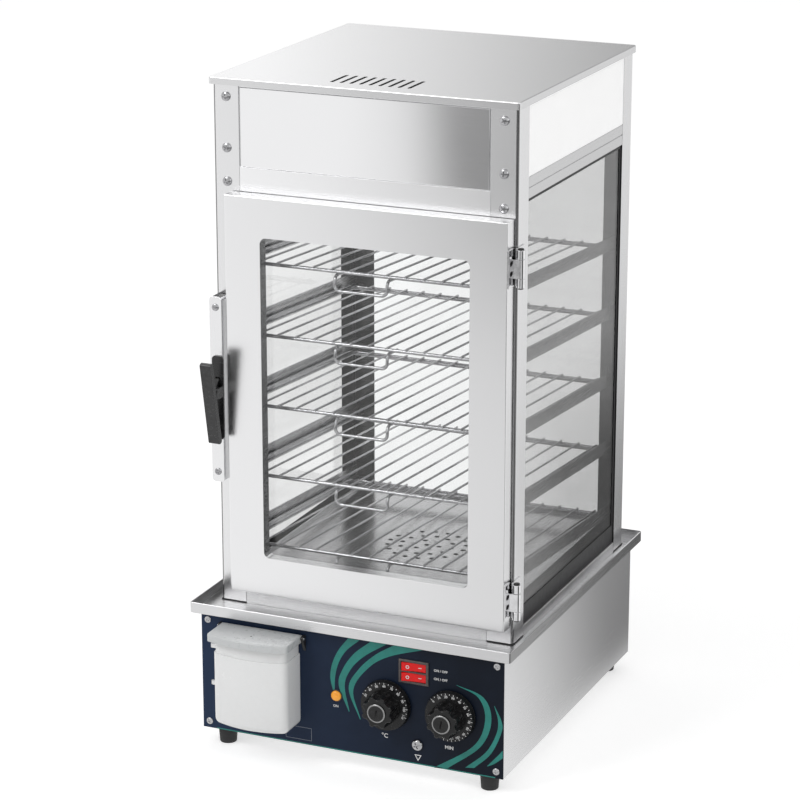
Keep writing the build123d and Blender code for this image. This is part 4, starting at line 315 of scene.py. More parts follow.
# Plain black for the screws on the door's hinge leaves and for the hinge pins.
DARK_SCREW = finish_of("black_screw_finish", (0.012, 0.012, 0.012), (0.04, 0.04, 0.04), (0.3, 0.5),
                       scale=200, Metallic=0.8)
BEZEL = finish_of("switch_bezel", (0.05, 0.04, 0.04), (0.09, 0.075, 0.07), (0.35, 0.5), scale=200,
                  wear=(0.2, 0.18, 0.17))
BLACK_PLASTIC = finish_of("black_plastic", (0.015, 0.015, 0.016), (0.03, 0.03, 0.03), (0.4, 0.55),
                          scale=200)
WHITE_PLASTIC = finish_of("white_plastic", (0.845, 0.85, 0.85), (0.865, 0.87, 0.87), (0.24, 0.28),
                          scale=160, bump=0.006, relief=0.00001, Coat_Weight=0.3, Coat_Roughness=0.14)
LID_PLASTIC = finish_of("lid_plastic", (0.58, 0.595, 0.60), (0.595, 0.61, 0.615), (0.26, 0.30),
                        scale=160, bump=0.001, relief=0.00001, Coat_Weight=0.2, Coat_Roughness=0.16)
HANDLE_RED = finish_of("dipped_red", (0.45, 0.015, 0.01), (0.6, 0.03, 0.02), (0.28, 0.4), scale=120)
ROCKER_RED = glowing("rocker_red", (0.62, 0.002, 0.003), (0.76, 0.005, 0.006), (0.18, 0.26),
                     (0.8, 0.0, 0.0), 0.06, scale=160, Coat_Weight=0.12, Coat_Roughness=0.08,
                     Specular_IOR_Level=0.3)
LENS_ORANGE = glowing("lens_orange", (0.75, 0.27, 0.01), (0.92, 0.40, 0.03), (0.16, 0.28),
                      (1.0, 0.38, 0.02), 0.22, scale=180, Coat_Weight=0.4, Coat_Roughness=0.1)
# Painted light: the opal side panels and the ceiling plate glow a little to read as white; the lamp tube has
# the same finish.
OPAL = glowing("opal_panel", (0.86, 0.86, 0.86), (0.92, 0.92, 0.92), (0.4, 0.5), (1, 1, 1), 0.25)
TEAL = finish_of("teal_print", (0.006, 0.175, 0.145), (0.012, 0.235, 0.20), (0.34, 0.46), scale=60,
                 bump=0.03)
PRINT = finish_of("white_print", (0.70, 0.70, 0.70), (0.82, 0.82, 0.82), (0.4, 0.55), scale=300, bump=0.03)
FAINT_PRINT = finish_of("faint_print", (0.16, 0.18, 0.22), (0.22, 0.24, 0.28), (0.4, 0.55), scale=300,
                        bump=0.03)
CAP_GREY = finish_of("knob_cap", (0.24, 0.24, 0.24), (0.34, 0.34, 0.34), (0.2, 0.32), scale=200,
                     Metallic=0.7)
# Painted shade: near black that stands in for the dark inside of the lid's slots and of the vent.
PAINTED_HOLE_SHADE = finish_of("painted_recess_shade", (0.004, 0.004, 0.004), (0.010, 0.010, 0.010), (0.6, 0.8))
PANEL = printed_panel("printed_panel")
GLASS = clear_glass("clear_glass", (0.93, 0.935, 0.935))
# Painted shade: the right side pane takes this darker grey tint, the left pane the clearer one.
SIDE_GLASS = clear_glass("side_glass", (0.60, 0.60, 0.60), (0.86, 0.86, 0.86))


# Mesh building

def linked(name, mesh, material=None):
    """Turns a bmesh into an object in the scene."""
    data = bpy.data.meshes.new(name)
    mesh.to_mesh(data)
    mesh.free()
    if material:
        data.materials.append(material)
    made = bpy.data.objects.new(name, data)
    scene.collection.objects.link(made)
    return made


def piece(name, mesh, body, material, smooth=32):
    """Turns a bmesh into a named piece that rides on a body."""
    bmesh.ops.recalc_face_normals(mesh, faces=mesh.faces)
    made = linked(name, mesh, material)
    made.data.shade_smooth()
    made.data.set_sharp_from_angle(angle=radians(smooth))
    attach(made, body)
    return made


def refined(node, edge, material, dissolve=0.4):
    """A CAD node's own shape with rolled edges in place of knife-sharp ones."""
    mesh = bmesh.new()
    mesh.from_mesh(frame["nodes"][node].data)
    bmesh.ops.remove_doubles(mesh, verts=mesh.verts, dist=1e-6)
    bmesh.ops.dissolve_limit(mesh, angle_limit=radians(dissolve), verts=mesh.verts, edges=mesh.edges)
    made = piece(f"{node}_finished", mesh, BODY[node], material)
    bevel = made.modifiers.new("rolled_edges", "BEVEL")
    bevel.limit_method = "ANGLE"
    bevel.angle_limit = radians(38)
    bevel.width = edge
    bevel.segments = 2
    bevel.use_clamp_overlap = True
    bevel.miter_outer = "MITER_ARC"
    normals = made.modifiers.new("even_shading", "WEIGHTED_NORMAL")
    normals.keep_sharp = True
    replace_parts(made, node)
    return made


def accent(made, material, chosen):
    """A second finish for the faces that the test picks out."""
    made.data.materials.append(material)
    for face in made.data.polygons:
        if chosen(face.center, face.normal):
            face.material_index = len(made.data.materials) - 1


def tube(mesh, points, radius, sides=10, closed=False, cap=0.6):
    """A round wire along a line of points, with slightly domed ends."""
    count = len(points)
    steps = []
    for index in range(count):
        before = points[index - 1] if closed or index else points[0]
        after = points[(index + 1) % count] if closed or index < count - 1 else points[-1]
        steps.append((after - before).normalized())
    side = steps[0].orthogonal().normalized()
    rings = []
    for index, point in enumerate(points):
        side = (side - steps[index] * side.dot(steps[index])).normalized()
        other = steps[index].cross(side)
        rings.append([mesh.verts.new(point + (side * cos(tau * k / sides) + other * sin(tau * k / sides))
                                     * radius) for k in range(sides)])
    spans = range(count if closed else count - 1)
    for index in spans:
        near, far = rings[index], rings[(index + 1) % count]
        shift = 0
        if closed and index == count - 1:
            shift = min(range(sides), key=lambda k: (near[0].co - far[k].co).length)
        for k in range(sides):
            mesh.faces.new((near[k], near[(k + 1) % sides], far[(k + 1 + shift) % sides],
                            far[(k + shift) % sides]))
    if closed:
        return
    for ring, step, point in ((rings[0], -steps[0], points[0]), (rings[-1], steps[-1], points[-1])):
        inner = [mesh.verts.new(point + (v.co - point) * 0.6 + step * radius * cap * 0.7) for v in ring]
        tip = mesh.verts.new(point + step * radius * cap)
        for k in range(sides):
            mesh.faces.new((ring[k], ring[(k + 1) % sides], inner[(k + 1) % sides], inner[k]))
            mesh.faces.new((inner[k], inner[(k + 1) % sides], tip))


def rounded(corners, radius, closed=False, steps=5):
    """The line through the corners, each turned with an arc."""
    count = len(corners)
    line = []
    for index, corner in enumerate(corners):
        if not closed and index in (0, count - 1):
            line.append(corner)
            continue
        back = (corners[index - 1] - corner).normalized()
        ahead = (corners[(index + 1) % count] - corner).normalized()
        half = back.angle(ahead) / 2
        reach = radius / (sin(half) / cos(half))
        centre = corner + (back + ahead).normalized() * (radius / sin(half))
        first = corner + back * reach - centre
        last = corner + ahead * reach - centre
        for step in range(steps + 1):
            turned = first.normalized().slerp(last.normalized(), step / steps)
            line.append(centre + turned * first.length)
    return line


def lathe(mesh, profile, place, segments=32):
    """A turned shape: profile holds (radius, height) pairs, place is the matrix of its base."""
    rings = []
    for radius, height in profile:
        if radius < 1e-7:
            rings.append([mesh.verts.new(place @ Vector((0, 0, height)))])
            continue
        rings.append([mesh.verts.new(place @ Vector((radius * cos(tau * k / segments),
                                                     radius * sin(tau * k / segments), height)))
                      for k in range(segments)])
    for near, far in zip(rings, rings[1:]):
        for k in range(segments):
            loop = [near[k % len(near)], near[(k + 1) % len(near)], far[(k + 1) % len(far)],
                    far[k % len(far)]]
            unique = list(dict.fromkeys(loop))
            if len(unique) > 2:
                mesh.faces.new(unique)


def facing(out, place, up=(0, 0, 1)):
    """A matrix at a place whose Z points out and whose Y leans to up."""
    z = Vector(out).normalized()
    x = Vector(up).cross(z)
    if x.length < 0.01:
        x = Vector((1, 0, 0))
    x.normalize()
    y = z.cross(x)
    return Matrix(((x.x, y.x, z.x, place[0]), (x.y, y.y, z.y, place[1]), (x.z, y.z, z.z, place[2]),
                   (0, 0, 0, 1)))


def loft(mesh, outlines):
    """A closed shape through outlines that have the same number of points."""
    rings = [[mesh.verts.new(point) for point in outline] for outline in outlines]
    for near, far in zip(rings, rings[1:]):
        count = len(near)
        for k in range(count):
            n = (k + 1) % count
            mesh.faces.new((near[k], near[n], far[n], far[k]))
    mesh.faces.new(list(reversed(rings[0])))
    mesh.faces.new(rings[-1])


def plate(mesh, outline, place, thickness=PRINT_THICKNESS):
    """A thin flat shape with the outline's points in the plane of place."""
    loft(mesh, [[place @ Vector((x, y, height)) for x, y in outline] for height in (0, thickness)])


def in_metres(*pairs):
    """Pairs that are given in millimetres."""
    return [(first * MM, second * MM) for first, second in pairs]


def rectangle(left, right, low, high):
    return [(left, low), (right, low), (right, high), (left, high)]


def band(mesh, outer, inner, place, thickness=PRINT_THICKNESS, closed=True):
    """A thin strip between two lines with the same number of points."""
    count = len(outer)
    layers = [[mesh.verts.new(place @ Vector((x, y, height))) for x, y in line]
              for line in (outer, inner) for height in (0, thickness)]
    outer_low, outer_high, inner_low, inner_high = layers
    last = count if closed else count - 1
    for k in range(last):
        n = (k + 1) % count
        mesh.faces.new((outer_high[k], outer_high[n], inner_high[n], inner_high[k]))
        mesh.faces.new((outer_low[k], inner_low[k], inner_low[n], outer_low[n]))
        mesh.faces.new((outer_low[k], outer_low[n], outer_high[n], outer_high[k]))
        mesh.faces.new((inner_low[k], inner_high[k], inner_high[n], inner_low[n]))
    if not closed:
        mesh.faces.new((outer_low[0], outer_high[0], inner_high[0], inner_low[0]))
        mesh.faces.new((outer_low[-1], inner_low[-1], inner_high[-1], outer_high[-1]))


def lettering(mesh, words, size, place, thickness=PRINT_THICKNESS):
    """Plain words or numbers, centred at a place."""
    curve = bpy.data.curves.new("words", "FONT")
    curve.body = words
    curve.size = size
    curve.align_x = "CENTER"
    curve.align_y = "CENTER"
    curve.extrude = thickness / 2
    curve.offset = size * LETTER_WEIGHT
    curve.resolution_u = 3
    holder = bpy.data.objects.new("words", curve)
    scene.collection.objects.link(holder)
    data = bpy.data.meshes.new_from_object(holder)
    data.transform(place @ Matrix.Translation((0, 0, thickness / 2)))
    mesh.from_mesh(data)
    bpy.data.objects.remove(holder)
    bpy.data.curves.remove(curve)
    bpy.data.meshes.remove(data)


def arc_through(start, middle, end, steps=20):
    """Points on the circle through three points."""
    (ax, ay), (bx, by), (cx, cy) = start, middle, end
    d = 2 * (ax * (by - cy) + bx * (cy - ay) + cx * (ay - by))
    ux = ((ax**2 + ay**2) * (by - cy) + (bx**2 + by**2) * (cy - ay) + (cx**2 + cy**2) * (ay - by)) / d
    uy = ((ax**2 + ay**2) * (cx - bx) + (bx**2 + by**2) * (ax - cx) + (cx**2 + cy**2) * (bx - ax)) / d
    radius = ((ax - ux) ** 2 + (ay - uy) ** 2) ** 0.5
    first, mid, last = (atan2(y - uy, x - ux) for x, y in (start, middle, end))
    turn = (last - first) % tau
    if (mid - first) % tau > turn:
        turn -= tau
    return [(ux + radius * cos(first + turn * k / steps), uy + radius * sin(first + turn * k / steps))
            for k in range(steps + 1)]


def screw_shape(head, height):
    """A pan head with a cross recess, as mesh data with its seat at the origin."""
    mesh = bmesh.new()
    profile = [(0, 0), (head * 0.96, 0), (head, height * 0.12), (head, height * 0.3)]
    profile += [(head * cos(radians(a)), height * (0.3 + 0.7 * sin(radians(a)))) for a in range(15, 90, 15)]
    profile.append((0, height))
    lathe(mesh, profile, Matrix.Identity(4), 40)
    bmesh.ops.recalc_face_normals(mesh, faces=mesh.faces)
    dome = linked("screw", mesh)
    cutters = []
    for long, wide in ((head * 1.15, head * 0.24), (head * 0.24, head * 1.15)):
        cutter = bmesh.new()
        bmesh.ops.create_cube(cutter, size=1, matrix=Matrix.Translation((0, 0, height))
                              @ Matrix.Diagonal((long, wide, height * 1.1, 1)))
        cutters.append(linked("cutter", cutter))
        boolean = dome.modifiers.new("recess", "BOOLEAN")
        boolean.object = cutters[-1]
        boolean.solver = "EXACT"
    bpy.context.view_layer.update()
    result = bpy.data.meshes.new_from_object(dome.evaluated_get(bpy.context.evaluated_depsgraph_get()))
    for made in (dome, *cutters):
        bpy.data.objects.remove(made)
    return result


def screws(name, shape, seats, body, material, turn=25):
    """Copies of one screw at each (place, out) seat, each turned a little further."""
    mesh = bmesh.new()
    for index, (place, out) in enumerate(seats):
        copy = shape.copy()
        copy.transform(facing(out, place) @ Matrix.Rotation(radians(turn + 37 * index), 4, "Z"))
        mesh.from_mesh(copy)
        bpy.data.meshes.remove(copy)
    return piece(name, mesh, body, material)


def front(x, z, y):
    """A place on a face that looks to the front."""
    return facing((0, -1, 0), (x, y, z))


# Sheet metal, housings and trim that keep the CAD shape
FINISHES = {
    "base_shell": (0.6, STEEL_Y), "base_bottom": (0.3, STEEL_X), "front_panel": (0.25, PANEL),
    "top_tray": (0.5, STEEL_X), "posts": (0.35, STEEL_Z), "bottom_rails": (0.3, STEEL_X),
    "side_top_rails": (0.3, STEEL_Y), "header_frame": (0.3, HEADER_STEEL), "sign_panel": (0.3, SIGN_STEEL),
    "lid": (0.4, LID_STEEL), "rear_top_panel": (0.3, STEEL_X), "lamp_side_panels": (0.3, OPAL),
    "ceiling_plate": (0.3, OPAL), "door_skin": (0.35, DOOR_STEEL), "door_liner": (0.2, INNER_STEEL),
    "door_gasket": (0.4, PALE_SEAL), "latch_channel": (0.3, DOOR_STEEL), "latch_base": (0.4, LATCH_BLACK),
    "latch_strike": (0.3, STEEL_X), "latch_lever": (1.1, LATCH_BLACK),
    "steam_plate": (0.3, INNER_STEEL), "water_pan": (0.3, INNER_STEEL), "shelf_rails": (0.25, SHADED_RAIL_STEEL),
    "feet": (0.8, RUBBER), "door_hinge_leaves": (0.3, CHROME), "post_hinge_leaves": (0.3, CHROME),
    "hinge_pins": (0.3, DARK_SCREW), "switch_housing": (0.25, BEZEL), "rocker_upper": (0.4, ROCKER_RED),
    "rocker_lower": (0.4, ROCKER_RED), "thermostat_knob": (0.5, KNOB_BLACK),
    "timer_knob": (0.5, KNOB_BLACK), "cable_gland": (0.4, BLACK_PLASTIC),
    "drain_valve": (0.4, BRASS), "drain_valve_handle": (0.6, HANDLE_RED),
    "glass_gaskets": (0.15, SEAL),
}
finished = {node: refined(node, edge * MM, material) for node, (edge, material) in FINISHES.items()}
STILE = 10 * MM
door_low, door_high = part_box("door_skin")
accent(finished["posts"], SHADED_STEEL,
       lambda spot, normal: spot.y > 0 and (normal.y < -0.5 or normal.x * spot.x < -0.05))
# Painted dark reflection along the bends of the posts.
accent(finished["posts"], PAINTED_BEND_REFLECTION, lambda spot, normal: min(abs(normal.x), abs(normal.y)) > 0.2)
# Painted shade on the right-facing side of the top tray.
accent(finished["top_tray"], SHADED_TRAY_SIDE_STEEL, lambda spot, normal: normal.x > 0.6)
# Painted light: the rails on the left take the lit copy of the rail steel.
accent(finished["shelf_rails"], LIT_RAIL_STEEL, lambda spot, normal: spot.x < 0)
# Painted shade: the side faces of the door's window opening take the dark rail steel.
accent(finished["door_skin"], SHADED_RAIL_STEEL,
       lambda spot, normal: abs(normal.x) > 0.7 and door_low.x + STILE < spot.x < door_high.x - STILE)

# Nodes whose shape is already right
CARRIED = {
    "door_glass": GLASS, "side_glass": SIDE_GLASS, "rear_glass": GLASS, "heating_element": ELEMENT,
    "feed_pipe": STEEL_Y, "drain_pipe": STEEL_Y, "thermostat_body": BLACK_PLASTIC,
    "timer_body": BLACK_PLASTIC, "capillary_bulb": COPPER, "terminal_block": BLACK_PLASTIC,
    "lamp_tube": OPAL, "lamp_holders": WHITE_PLASTIC,
}
for node, material in CARRIED.items():
    held = frame["nodes"][node]
    held.data.materials.clear()
    held.data.materials.append(material)


# Seals, and painted shade: black strips in the gap under the posts and a dark sheet under the lid

SEAL_BEAD = 1.7 * MM
SEAL_PROUD = 0.7 * MM
SEAL_SIGHT = 32.3 * MM
SEAL_SILL = 20 * MM
SEAL_HEAD = 14.5 * MM
# Size of the black strips under the posts, painted shade in the gap there.
GAP_SHADE_LEG = 30 * MM
GAP_SHADE_WIDTH = 2.2 * MM
GAP_SHADE_PROUD = 0.3 * MM
GAP_SHADE_HEIGHT = 1.3 * MM
GAP_SHADE_CLEARANCE = 0.1 * MM
# Size and place of the dark sheet under the lid, painted shade for its slots.
SLOT_SHADE_DROP = 3 * MM
SLOT_SHADE_HALF = 50 * MM
SLOT_SHADE_SHEET = 0.5 * MM
SLOT_SHADE_SPAN = (18 * MM, 69 * MM)


def seal_beads():
    """The black rim of each side pane's seal, on the outside of the glass."""
    mesh = bmesh.new()
    frame_low, frame_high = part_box("posts")
    seal_low, seal_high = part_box("glass_gaskets")
    y_run = (frame_low.y + SEAL_SIGHT, frame_high.y - SEAL_SIGHT)
    z_run = (seal_low.z + SEAL_SILL, seal_high.z - SEAL_HEAD)
    for side in (-1, 1):
        outer = rectangle(side * y_run[0], side * y_run[1], *z_run)
        inner = rectangle(side * (y_run[0] + SEAL_BEAD), side * (y_run[1] - SEAL_BEAD),
                          z_run[0] + SEAL_BEAD, z_run[1] - SEAL_BEAD)
        place = facing((side, 0, 0), (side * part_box("side_glass")[1].x, 0, 0))
        band(mesh, outer, inner, place, SEAL_PROUD)
    piece("side_glass_beads", mesh, BODY["glass_gaskets"], SEAL)


def post_pads():
    """Thin black strips in the gap under the four posts, painted shade of that gap."""
    mesh = bmesh.new()
    low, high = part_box("posts")
    angle = [(-GAP_SHADE_PROUD, -GAP_SHADE_PROUD), (GAP_SHADE_LEG, -GAP_SHADE_PROUD), (GAP_SHADE_LEG, GAP_SHADE_WIDTH), (GAP_SHADE_WIDTH, GAP_SHADE_WIDTH),
             (GAP_SHADE_WIDTH, GAP_SHADE_LEG), (-GAP_SHADE_PROUD, GAP_SHADE_LEG)]
    for x, x_turn in ((low.x, 1), (high.x, -1)):
        for y, y_turn in ((low.y, 1), (high.y, -1)):
            place = Matrix.Translation((x, y, low.z - GAP_SHADE_HEIGHT - GAP_SHADE_CLEARANCE))
            plate(mesh, [(px * x_turn, py * y_turn) for px, py in angle], place, GAP_SHADE_HEIGHT)
    piece("post_pads", mesh, BODY["posts"], SEAL)


def lid_baffle():
    """A dark sheet under the lid, painted shade that shows through the slots of the lid."""
    mesh = bmesh.new()
    low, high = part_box("lid")
    corners = rectangle(-SLOT_SHADE_HALF, SLOT_SHADE_HALF, low.y + SLOT_SHADE_SPAN[0], low.y + SLOT_SHADE_SPAN[1])
    plate(mesh, corners, Matrix.Translation((0, 0, high.z - SLOT_SHADE_DROP)), SLOT_SHADE_SHEET)
    piece("lid_baffle", mesh, BODY["lid"], PAINTED_HOLE_SHADE)


seal_beads()
post_pads()
lid_baffle()


# Water box and its lid

BOX_LEFT = -149 * MM
BOX_RIGHT = -60 * MM
BOX_DEPTH = 35 * MM
BOX_BOW = 8 * MM
BOX_BOTTOM = 42 * MM
BOX_SHOULDER = 127 * MM
BOX_TOP = 141 * MM
BOX_CORNER = 9 * MM
BOX_BOTTOM_CORNER = 8 * MM
BOX_NECK_INSET = 1.5 * MM
BOX_WALL = 2 * MM
BOX_LID_TOP = 150 * MM
BOX_LID_UNDER = 141.5 * MM
BOX_LID_OVERHANG = 4 * MM
BOX_LID_FRONT = 6 * MM
BOX_LID_REAR_GAP = 2 * MM
BOX_LID_REAR_ROUND = 2.4 * MM
BOX_LID_REAR_WALL = 8 * MM
BOX_LID_ROUND = 1.4 * MM
BOX_LID_CHAMFER = 0.4 * MM
BOX_PIN_OUT = 5 * MM
BOX_PIN_LEVEL = 146.5 * MM
BOX_EAR = 3 * MM
BOX_EAR_GAP = 0.5 * MM
BOX_EAR_FOOT = 131 * MM
BOX_EAR_ROUND = 2.6 * MM
BOX_CLIP_LEVELS = (76 * MM, 120 * MM)
BOX_CLIP_REACH = 19 * MM
BOX_CLIP_HALF = 2.4 * MM
BOX_VENT = 1.1 * MM
QUARTER = [radians(angle) for angle in range(0, 91, 15)]


def bowed_outline(left, right, rear, side, corner):
    """Seen from above: straight sides, a bowed front and round front corners."""
    middle = (left + right) / 2
    bow = arc_through((right, side), (middle, side - BOX_BOW), (left, side), 24)
    turns = []
    for here, ahead in ((right, bow[2]), (left, bow[-3])):
        corners = [Vector((here, side + 3 * corner, 0)), Vector((here, side, 0)), Vector((*ahead, 0))]
        turns.append([(point.x, point.y) for point in rounded(corners, corner, steps=8)[1:-1]])
    turns[1].reverse()
    front_arc = arc_through(turns[0][-1], (middle, side - BOX_BOW), turns[1][0], 20)[1:-1]
    return [(left, rear), (right, rear)] + turns[0] + front_arc + turns[1]


def moulded(mesh, levels):
    """Joins outlines, each (points, height), into one smooth moulding."""
    loft(mesh, [[(x, y, z) for x, y in points] for points, z in levels])


def make_water_box():
    """The open box with its shoulder, neck and cavity, and the two clips at its left."""
    mesh = bmesh.new()
    levels = []

    def add(inset, z, rear_inset=0.0):
        outline = bowed_outline(BOX_LEFT + inset, BOX_RIGHT - inset, PANEL_Y - rear_inset,
                                PANEL_Y - BOX_DEPTH + inset, BOX_CORNER - inset)
        levels.append((outline, z))

    for angle in QUARTER:
        add(BOX_BOTTOM_CORNER * (1 - sin(angle)), BOX_BOTTOM + BOX_BOTTOM_CORNER * (1 - cos(angle)))
    add(0, BOX_SHOULDER - 0.7 * MM)
    add(0.2 * MM, BOX_SHOULDER - 0.2 * MM)
    add(0.7 * MM, BOX_SHOULDER)
    add(BOX_NECK_INSET, BOX_SHOULDER + 0.1 * MM)
    add(BOX_NECK_INSET, BOX_TOP - 0.4 * MM)
    add(BOX_NECK_INSET + 0.4 * MM, BOX_TOP)
    add(BOX_NECK_INSET + BOX_WALL, BOX_TOP, BOX_WALL)
    add(BOX_NECK_INSET + BOX_WALL, BOX_BOTTOM + BOX_BOTTOM_CORNER, BOX_WALL)
    moulded(mesh, levels)
    clip_end = BOX_LEFT - BOX_CLIP_REACH
    clip_front = PANEL_Y - BOX_EAR
    clip = [(clip_end, PANEL_Y), (BOX_LEFT + MM, PANEL_Y), (BOX_LEFT + MM, clip_front),
            (clip_end + MM, clip_front), (clip_end, clip_front + MM)]
    for level in BOX_CLIP_LEVELS:
        moulded(mesh, [(clip, level - BOX_CLIP_HALF), (clip, level + BOX_CLIP_HALF)])
    made = piece("water_box_moulding", mesh, BODY["water_box"], WHITE_PLASTIC)
    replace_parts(made, "water_box")


def make_box_ears():
    """The dark ears that carry the lid's pins, and the ends of the pins."""
    ears = bmesh.new()
    pins = bmesh.new()
    pin_y = PANEL_Y - BOX_PIN_OUT
    profile = [(PANEL_Y, BOX_EAR_FOOT), (PANEL_Y, BOX_PIN_LEVEL + BOX_EAR_ROUND)]
    profile += [(pin_y - BOX_EAR_ROUND * sin(radians(a)), BOX_PIN_LEVEL + BOX_EAR_ROUND * cos(radians(a)))
                for a in range(0, 121, 15)]
    reach = BOX_LID_OVERHANG + BOX_EAR_GAP
    for edge, out in ((BOX_LEFT - reach, -1), (BOX_RIGHT + reach, 1)):
        loft(ears, [[(edge + out * step, y, z) for y, z in profile] for step in (0, BOX_EAR)])
        place = facing((out, 0, 0), (edge + out * BOX_EAR, pin_y, BOX_PIN_LEVEL))
        lathe(pins, in_metres((0, 0), (1.8, 0), (1.8, 0.5), (1.3, 0.9), (0, 1)), place, 20)
    piece("water_box_ears", ears, BODY["water_box"], BLACK_PLASTIC)
    piece("water_box_pins", pins, BODY["water_box"], CHROME)


def make_box_lid():
    """The hollow lid with its rolled edges and its vent."""
    mesh = bmesh.new()
    left = BOX_LEFT - BOX_LID_OVERHANG
    right = BOX_RIGHT + BOX_LID_OVERHANG
    side = PANEL_Y - BOX_DEPTH - BOX_LID_FRONT
    rear = PANEL_Y - BOX_LID_REAR_GAP
    levels = []

    def add(inset, z, rear_inset):
        outline = bowed_outline(left + inset, right - inset, rear - rear_inset, side + inset,
                                BOX_CORNER / 2 - inset)
        levels.append((outline, z))

    add(BOX_WALL, BOX_LID_TOP - BOX_WALL, BOX_LID_REAR_WALL)
    add(BOX_WALL, BOX_LID_UNDER, BOX_LID_REAR_WALL)
    for angle in QUARTER:
        add(0 if angle else BOX_LID_CHAMFER, BOX_LID_UNDER + BOX_LID_REAR_ROUND * (1 - cos(angle)),
            BOX_LID_REAR_ROUND * (1 - sin(angle)))
    for angle in QUARTER:
        swing = 1 - cos(angle)
        add(BOX_LID_ROUND * swing, BOX_LID_TOP - BOX_LID_ROUND * (1 - sin(angle)),
            BOX_LID_REAR_ROUND * swing)
    moulded(mesh, levels)
    made = piece("water_box_lid_moulding", mesh, BODY["water_box_lid"], LID_PLASTIC)
    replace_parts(made, "water_box_lid")
    # The vent is a near-black disc on the lid, painted shade of the hole.
    vent = bmesh.new()
    lathe(vent, [(0, 0), (BOX_VENT, 0), (BOX_VENT, 0.05 * MM), (0, 0.06 * MM)],
          Matrix.Translation(((left + right) / 2, PANEL_Y - BOX_DEPTH + BOX_LID_FRONT, BOX_LID_TOP)), 20)
    piece("water_box_lid_vent", vent, BODY["water_box_lid"], PAINTED_HOLE_SHADE)


make_water_box()
make_box_ears()
make_box_lid()


# Wire shelves

def wire_shelf(index):
    """One welded shelf: frame, rear rod, wires with their weld beads, and the bent handle."""
    slope = Matrix.Translation(SHELF_FIRST + Vector((0, 0, index * SHELF_PITCH)))
    slope = slope @ Matrix.Rotation(-SHELF_TILT, 4, "X")
    mesh = bmesh.new()
    corners = [Vector((SHELF_SIDE, 0, 0)), Vector((SHELF_SIDE, SHELF_DEPTH, 0)),
               Vector((-SHELF_SIDE, SHELF_DEPTH, 0)), Vector((-SHELF_SIDE, 0, 0))]
    tube(mesh, rounded(corners, SHELF_CORNER, closed=True), SHELF_ROD, 14, closed=True)
    rear = SHELF_DEPTH - SHELF_REAR_ROD_INSET
    tube(mesh, [Vector((-SHELF_SIDE, rear, 0)), Vector((SHELF_SIDE, rear, 0))], SHELF_REAR_ROD, 12)
    lift = SHELF_ROD + SHELF_WIRE * 0.4
    end = SHELF_ROD + SHELF_WIRE_NUB - SHELF_WIRE * 0.6
    for step in range(SHELF_WIRE_COUNT):
        x = (step - (SHELF_WIRE_COUNT - 1) / 2) * SHELF_WIRE_PITCH
        tube(mesh, [Vector((x, -end, lift)), Vector((x, SHELF_DEPTH + end, lift))], SHELF_WIRE, 12)
        for bead_y in (0, rear, SHELF_DEPTH):
            bmesh.ops.create_uvsphere(
                mesh, u_segments=10, v_segments=6, radius=SHELF_WIRE * 1.25,
                matrix=Matrix.Translation((x, bead_y, lift * 0.55)) @ Matrix.Diagonal((1.25, 0.9, 0.8, 1)))
    back = SHELF_WIRE_PITCH
    top = -SHELF_ROD - HANDLE_WIRE - WELD_GAP
    leg = [(back, top), (-HANDLE_OUT, top), (-HANDLE_OUT, -HANDLE_DROP)]
    route = [(HANDLE_LEFT, *spot) for spot in leg] + [(HANDLE_RIGHT, *spot) for spot in reversed(leg)]
    tube(mesh, rounded([Vector(spot) for spot in route], HANDLE_BEND), HANDLE_WIRE, 14)
    mesh.transform(slope)
    node = f"shelf_{index + 1}"
    made = piece(f"{node}_wires", mesh, BODY[node], WIRE, 60)
    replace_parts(made, node)


for index in range(SHELF_COUNT):
    wire_shelf(index)


# Screws

FRAME_SCREW_X = 158.5 * MM
FRAME_SCREW_LEVELS = (637.3 * MM, 673.7 * MM, 729 * MM)
HINGE_LEVELS = (212.5 * MM, 578 * MM)
HINGE_SCREW_DROP = 9 * MM
POST_SCREW_Y = -154 * MM
DOOR_SCREW_Y = -176 * MM
DOOR_SCREW_STEP = 5.5 * MM
PANEL_SCREW_X = 172 * MM
PANEL_SCREW_LEVELS = (28 * MM, 149 * MM)
LATCH_SCREW_INSET = 7.25 * MM
LATCH_SCREW_LEVELS = (318.35 * MM, 503.65 * MM)
POST_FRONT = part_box("posts")[0].y
POST_LEAF_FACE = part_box("posts")[1].x + 1.5 * MM
LATCH_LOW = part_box("latch_channel")[0]
LATCH_MID = LATCH_LOW.x + LATCH_SCREW_INSET
DOOR_LEAF_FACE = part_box("door_skin")[1].x
FORWARD = (0, -1, 0)
RIGHTWARD = (1, 0, 0)
frame_seats = [((side * FRAME_SCREW_X, POST_FRONT, z), FORWARD)
               for side in (-1, 1) for z in FRAME_SCREW_LEVELS]
post_seats = [((POST_LEAF_FACE, POST_SCREW_Y, z - HINGE_SCREW_DROP), RIGHTWARD) for z in HINGE_LEVELS]
panel_seats = [((side * PANEL_SCREW_X, PANEL_Y, z), FORWARD) for side in (-1, 1) for z in PANEL_SCREW_LEVELS]
latch_seats = [((LATCH_MID, LATCH_LOW.y, z), FORWARD) for z in LATCH_SCREW_LEVELS]
leaf_seats = [((DOOR_LEAF_FACE, DOOR_SCREW_Y, z + step * DOOR_SCREW_STEP), RIGHTWARD)
              for z in HINGE_LEVELS for step in (-1, 1)]
earth_seats = [((EARTH_X, PANEL_Y, EARTH_Z), FORWARD)]
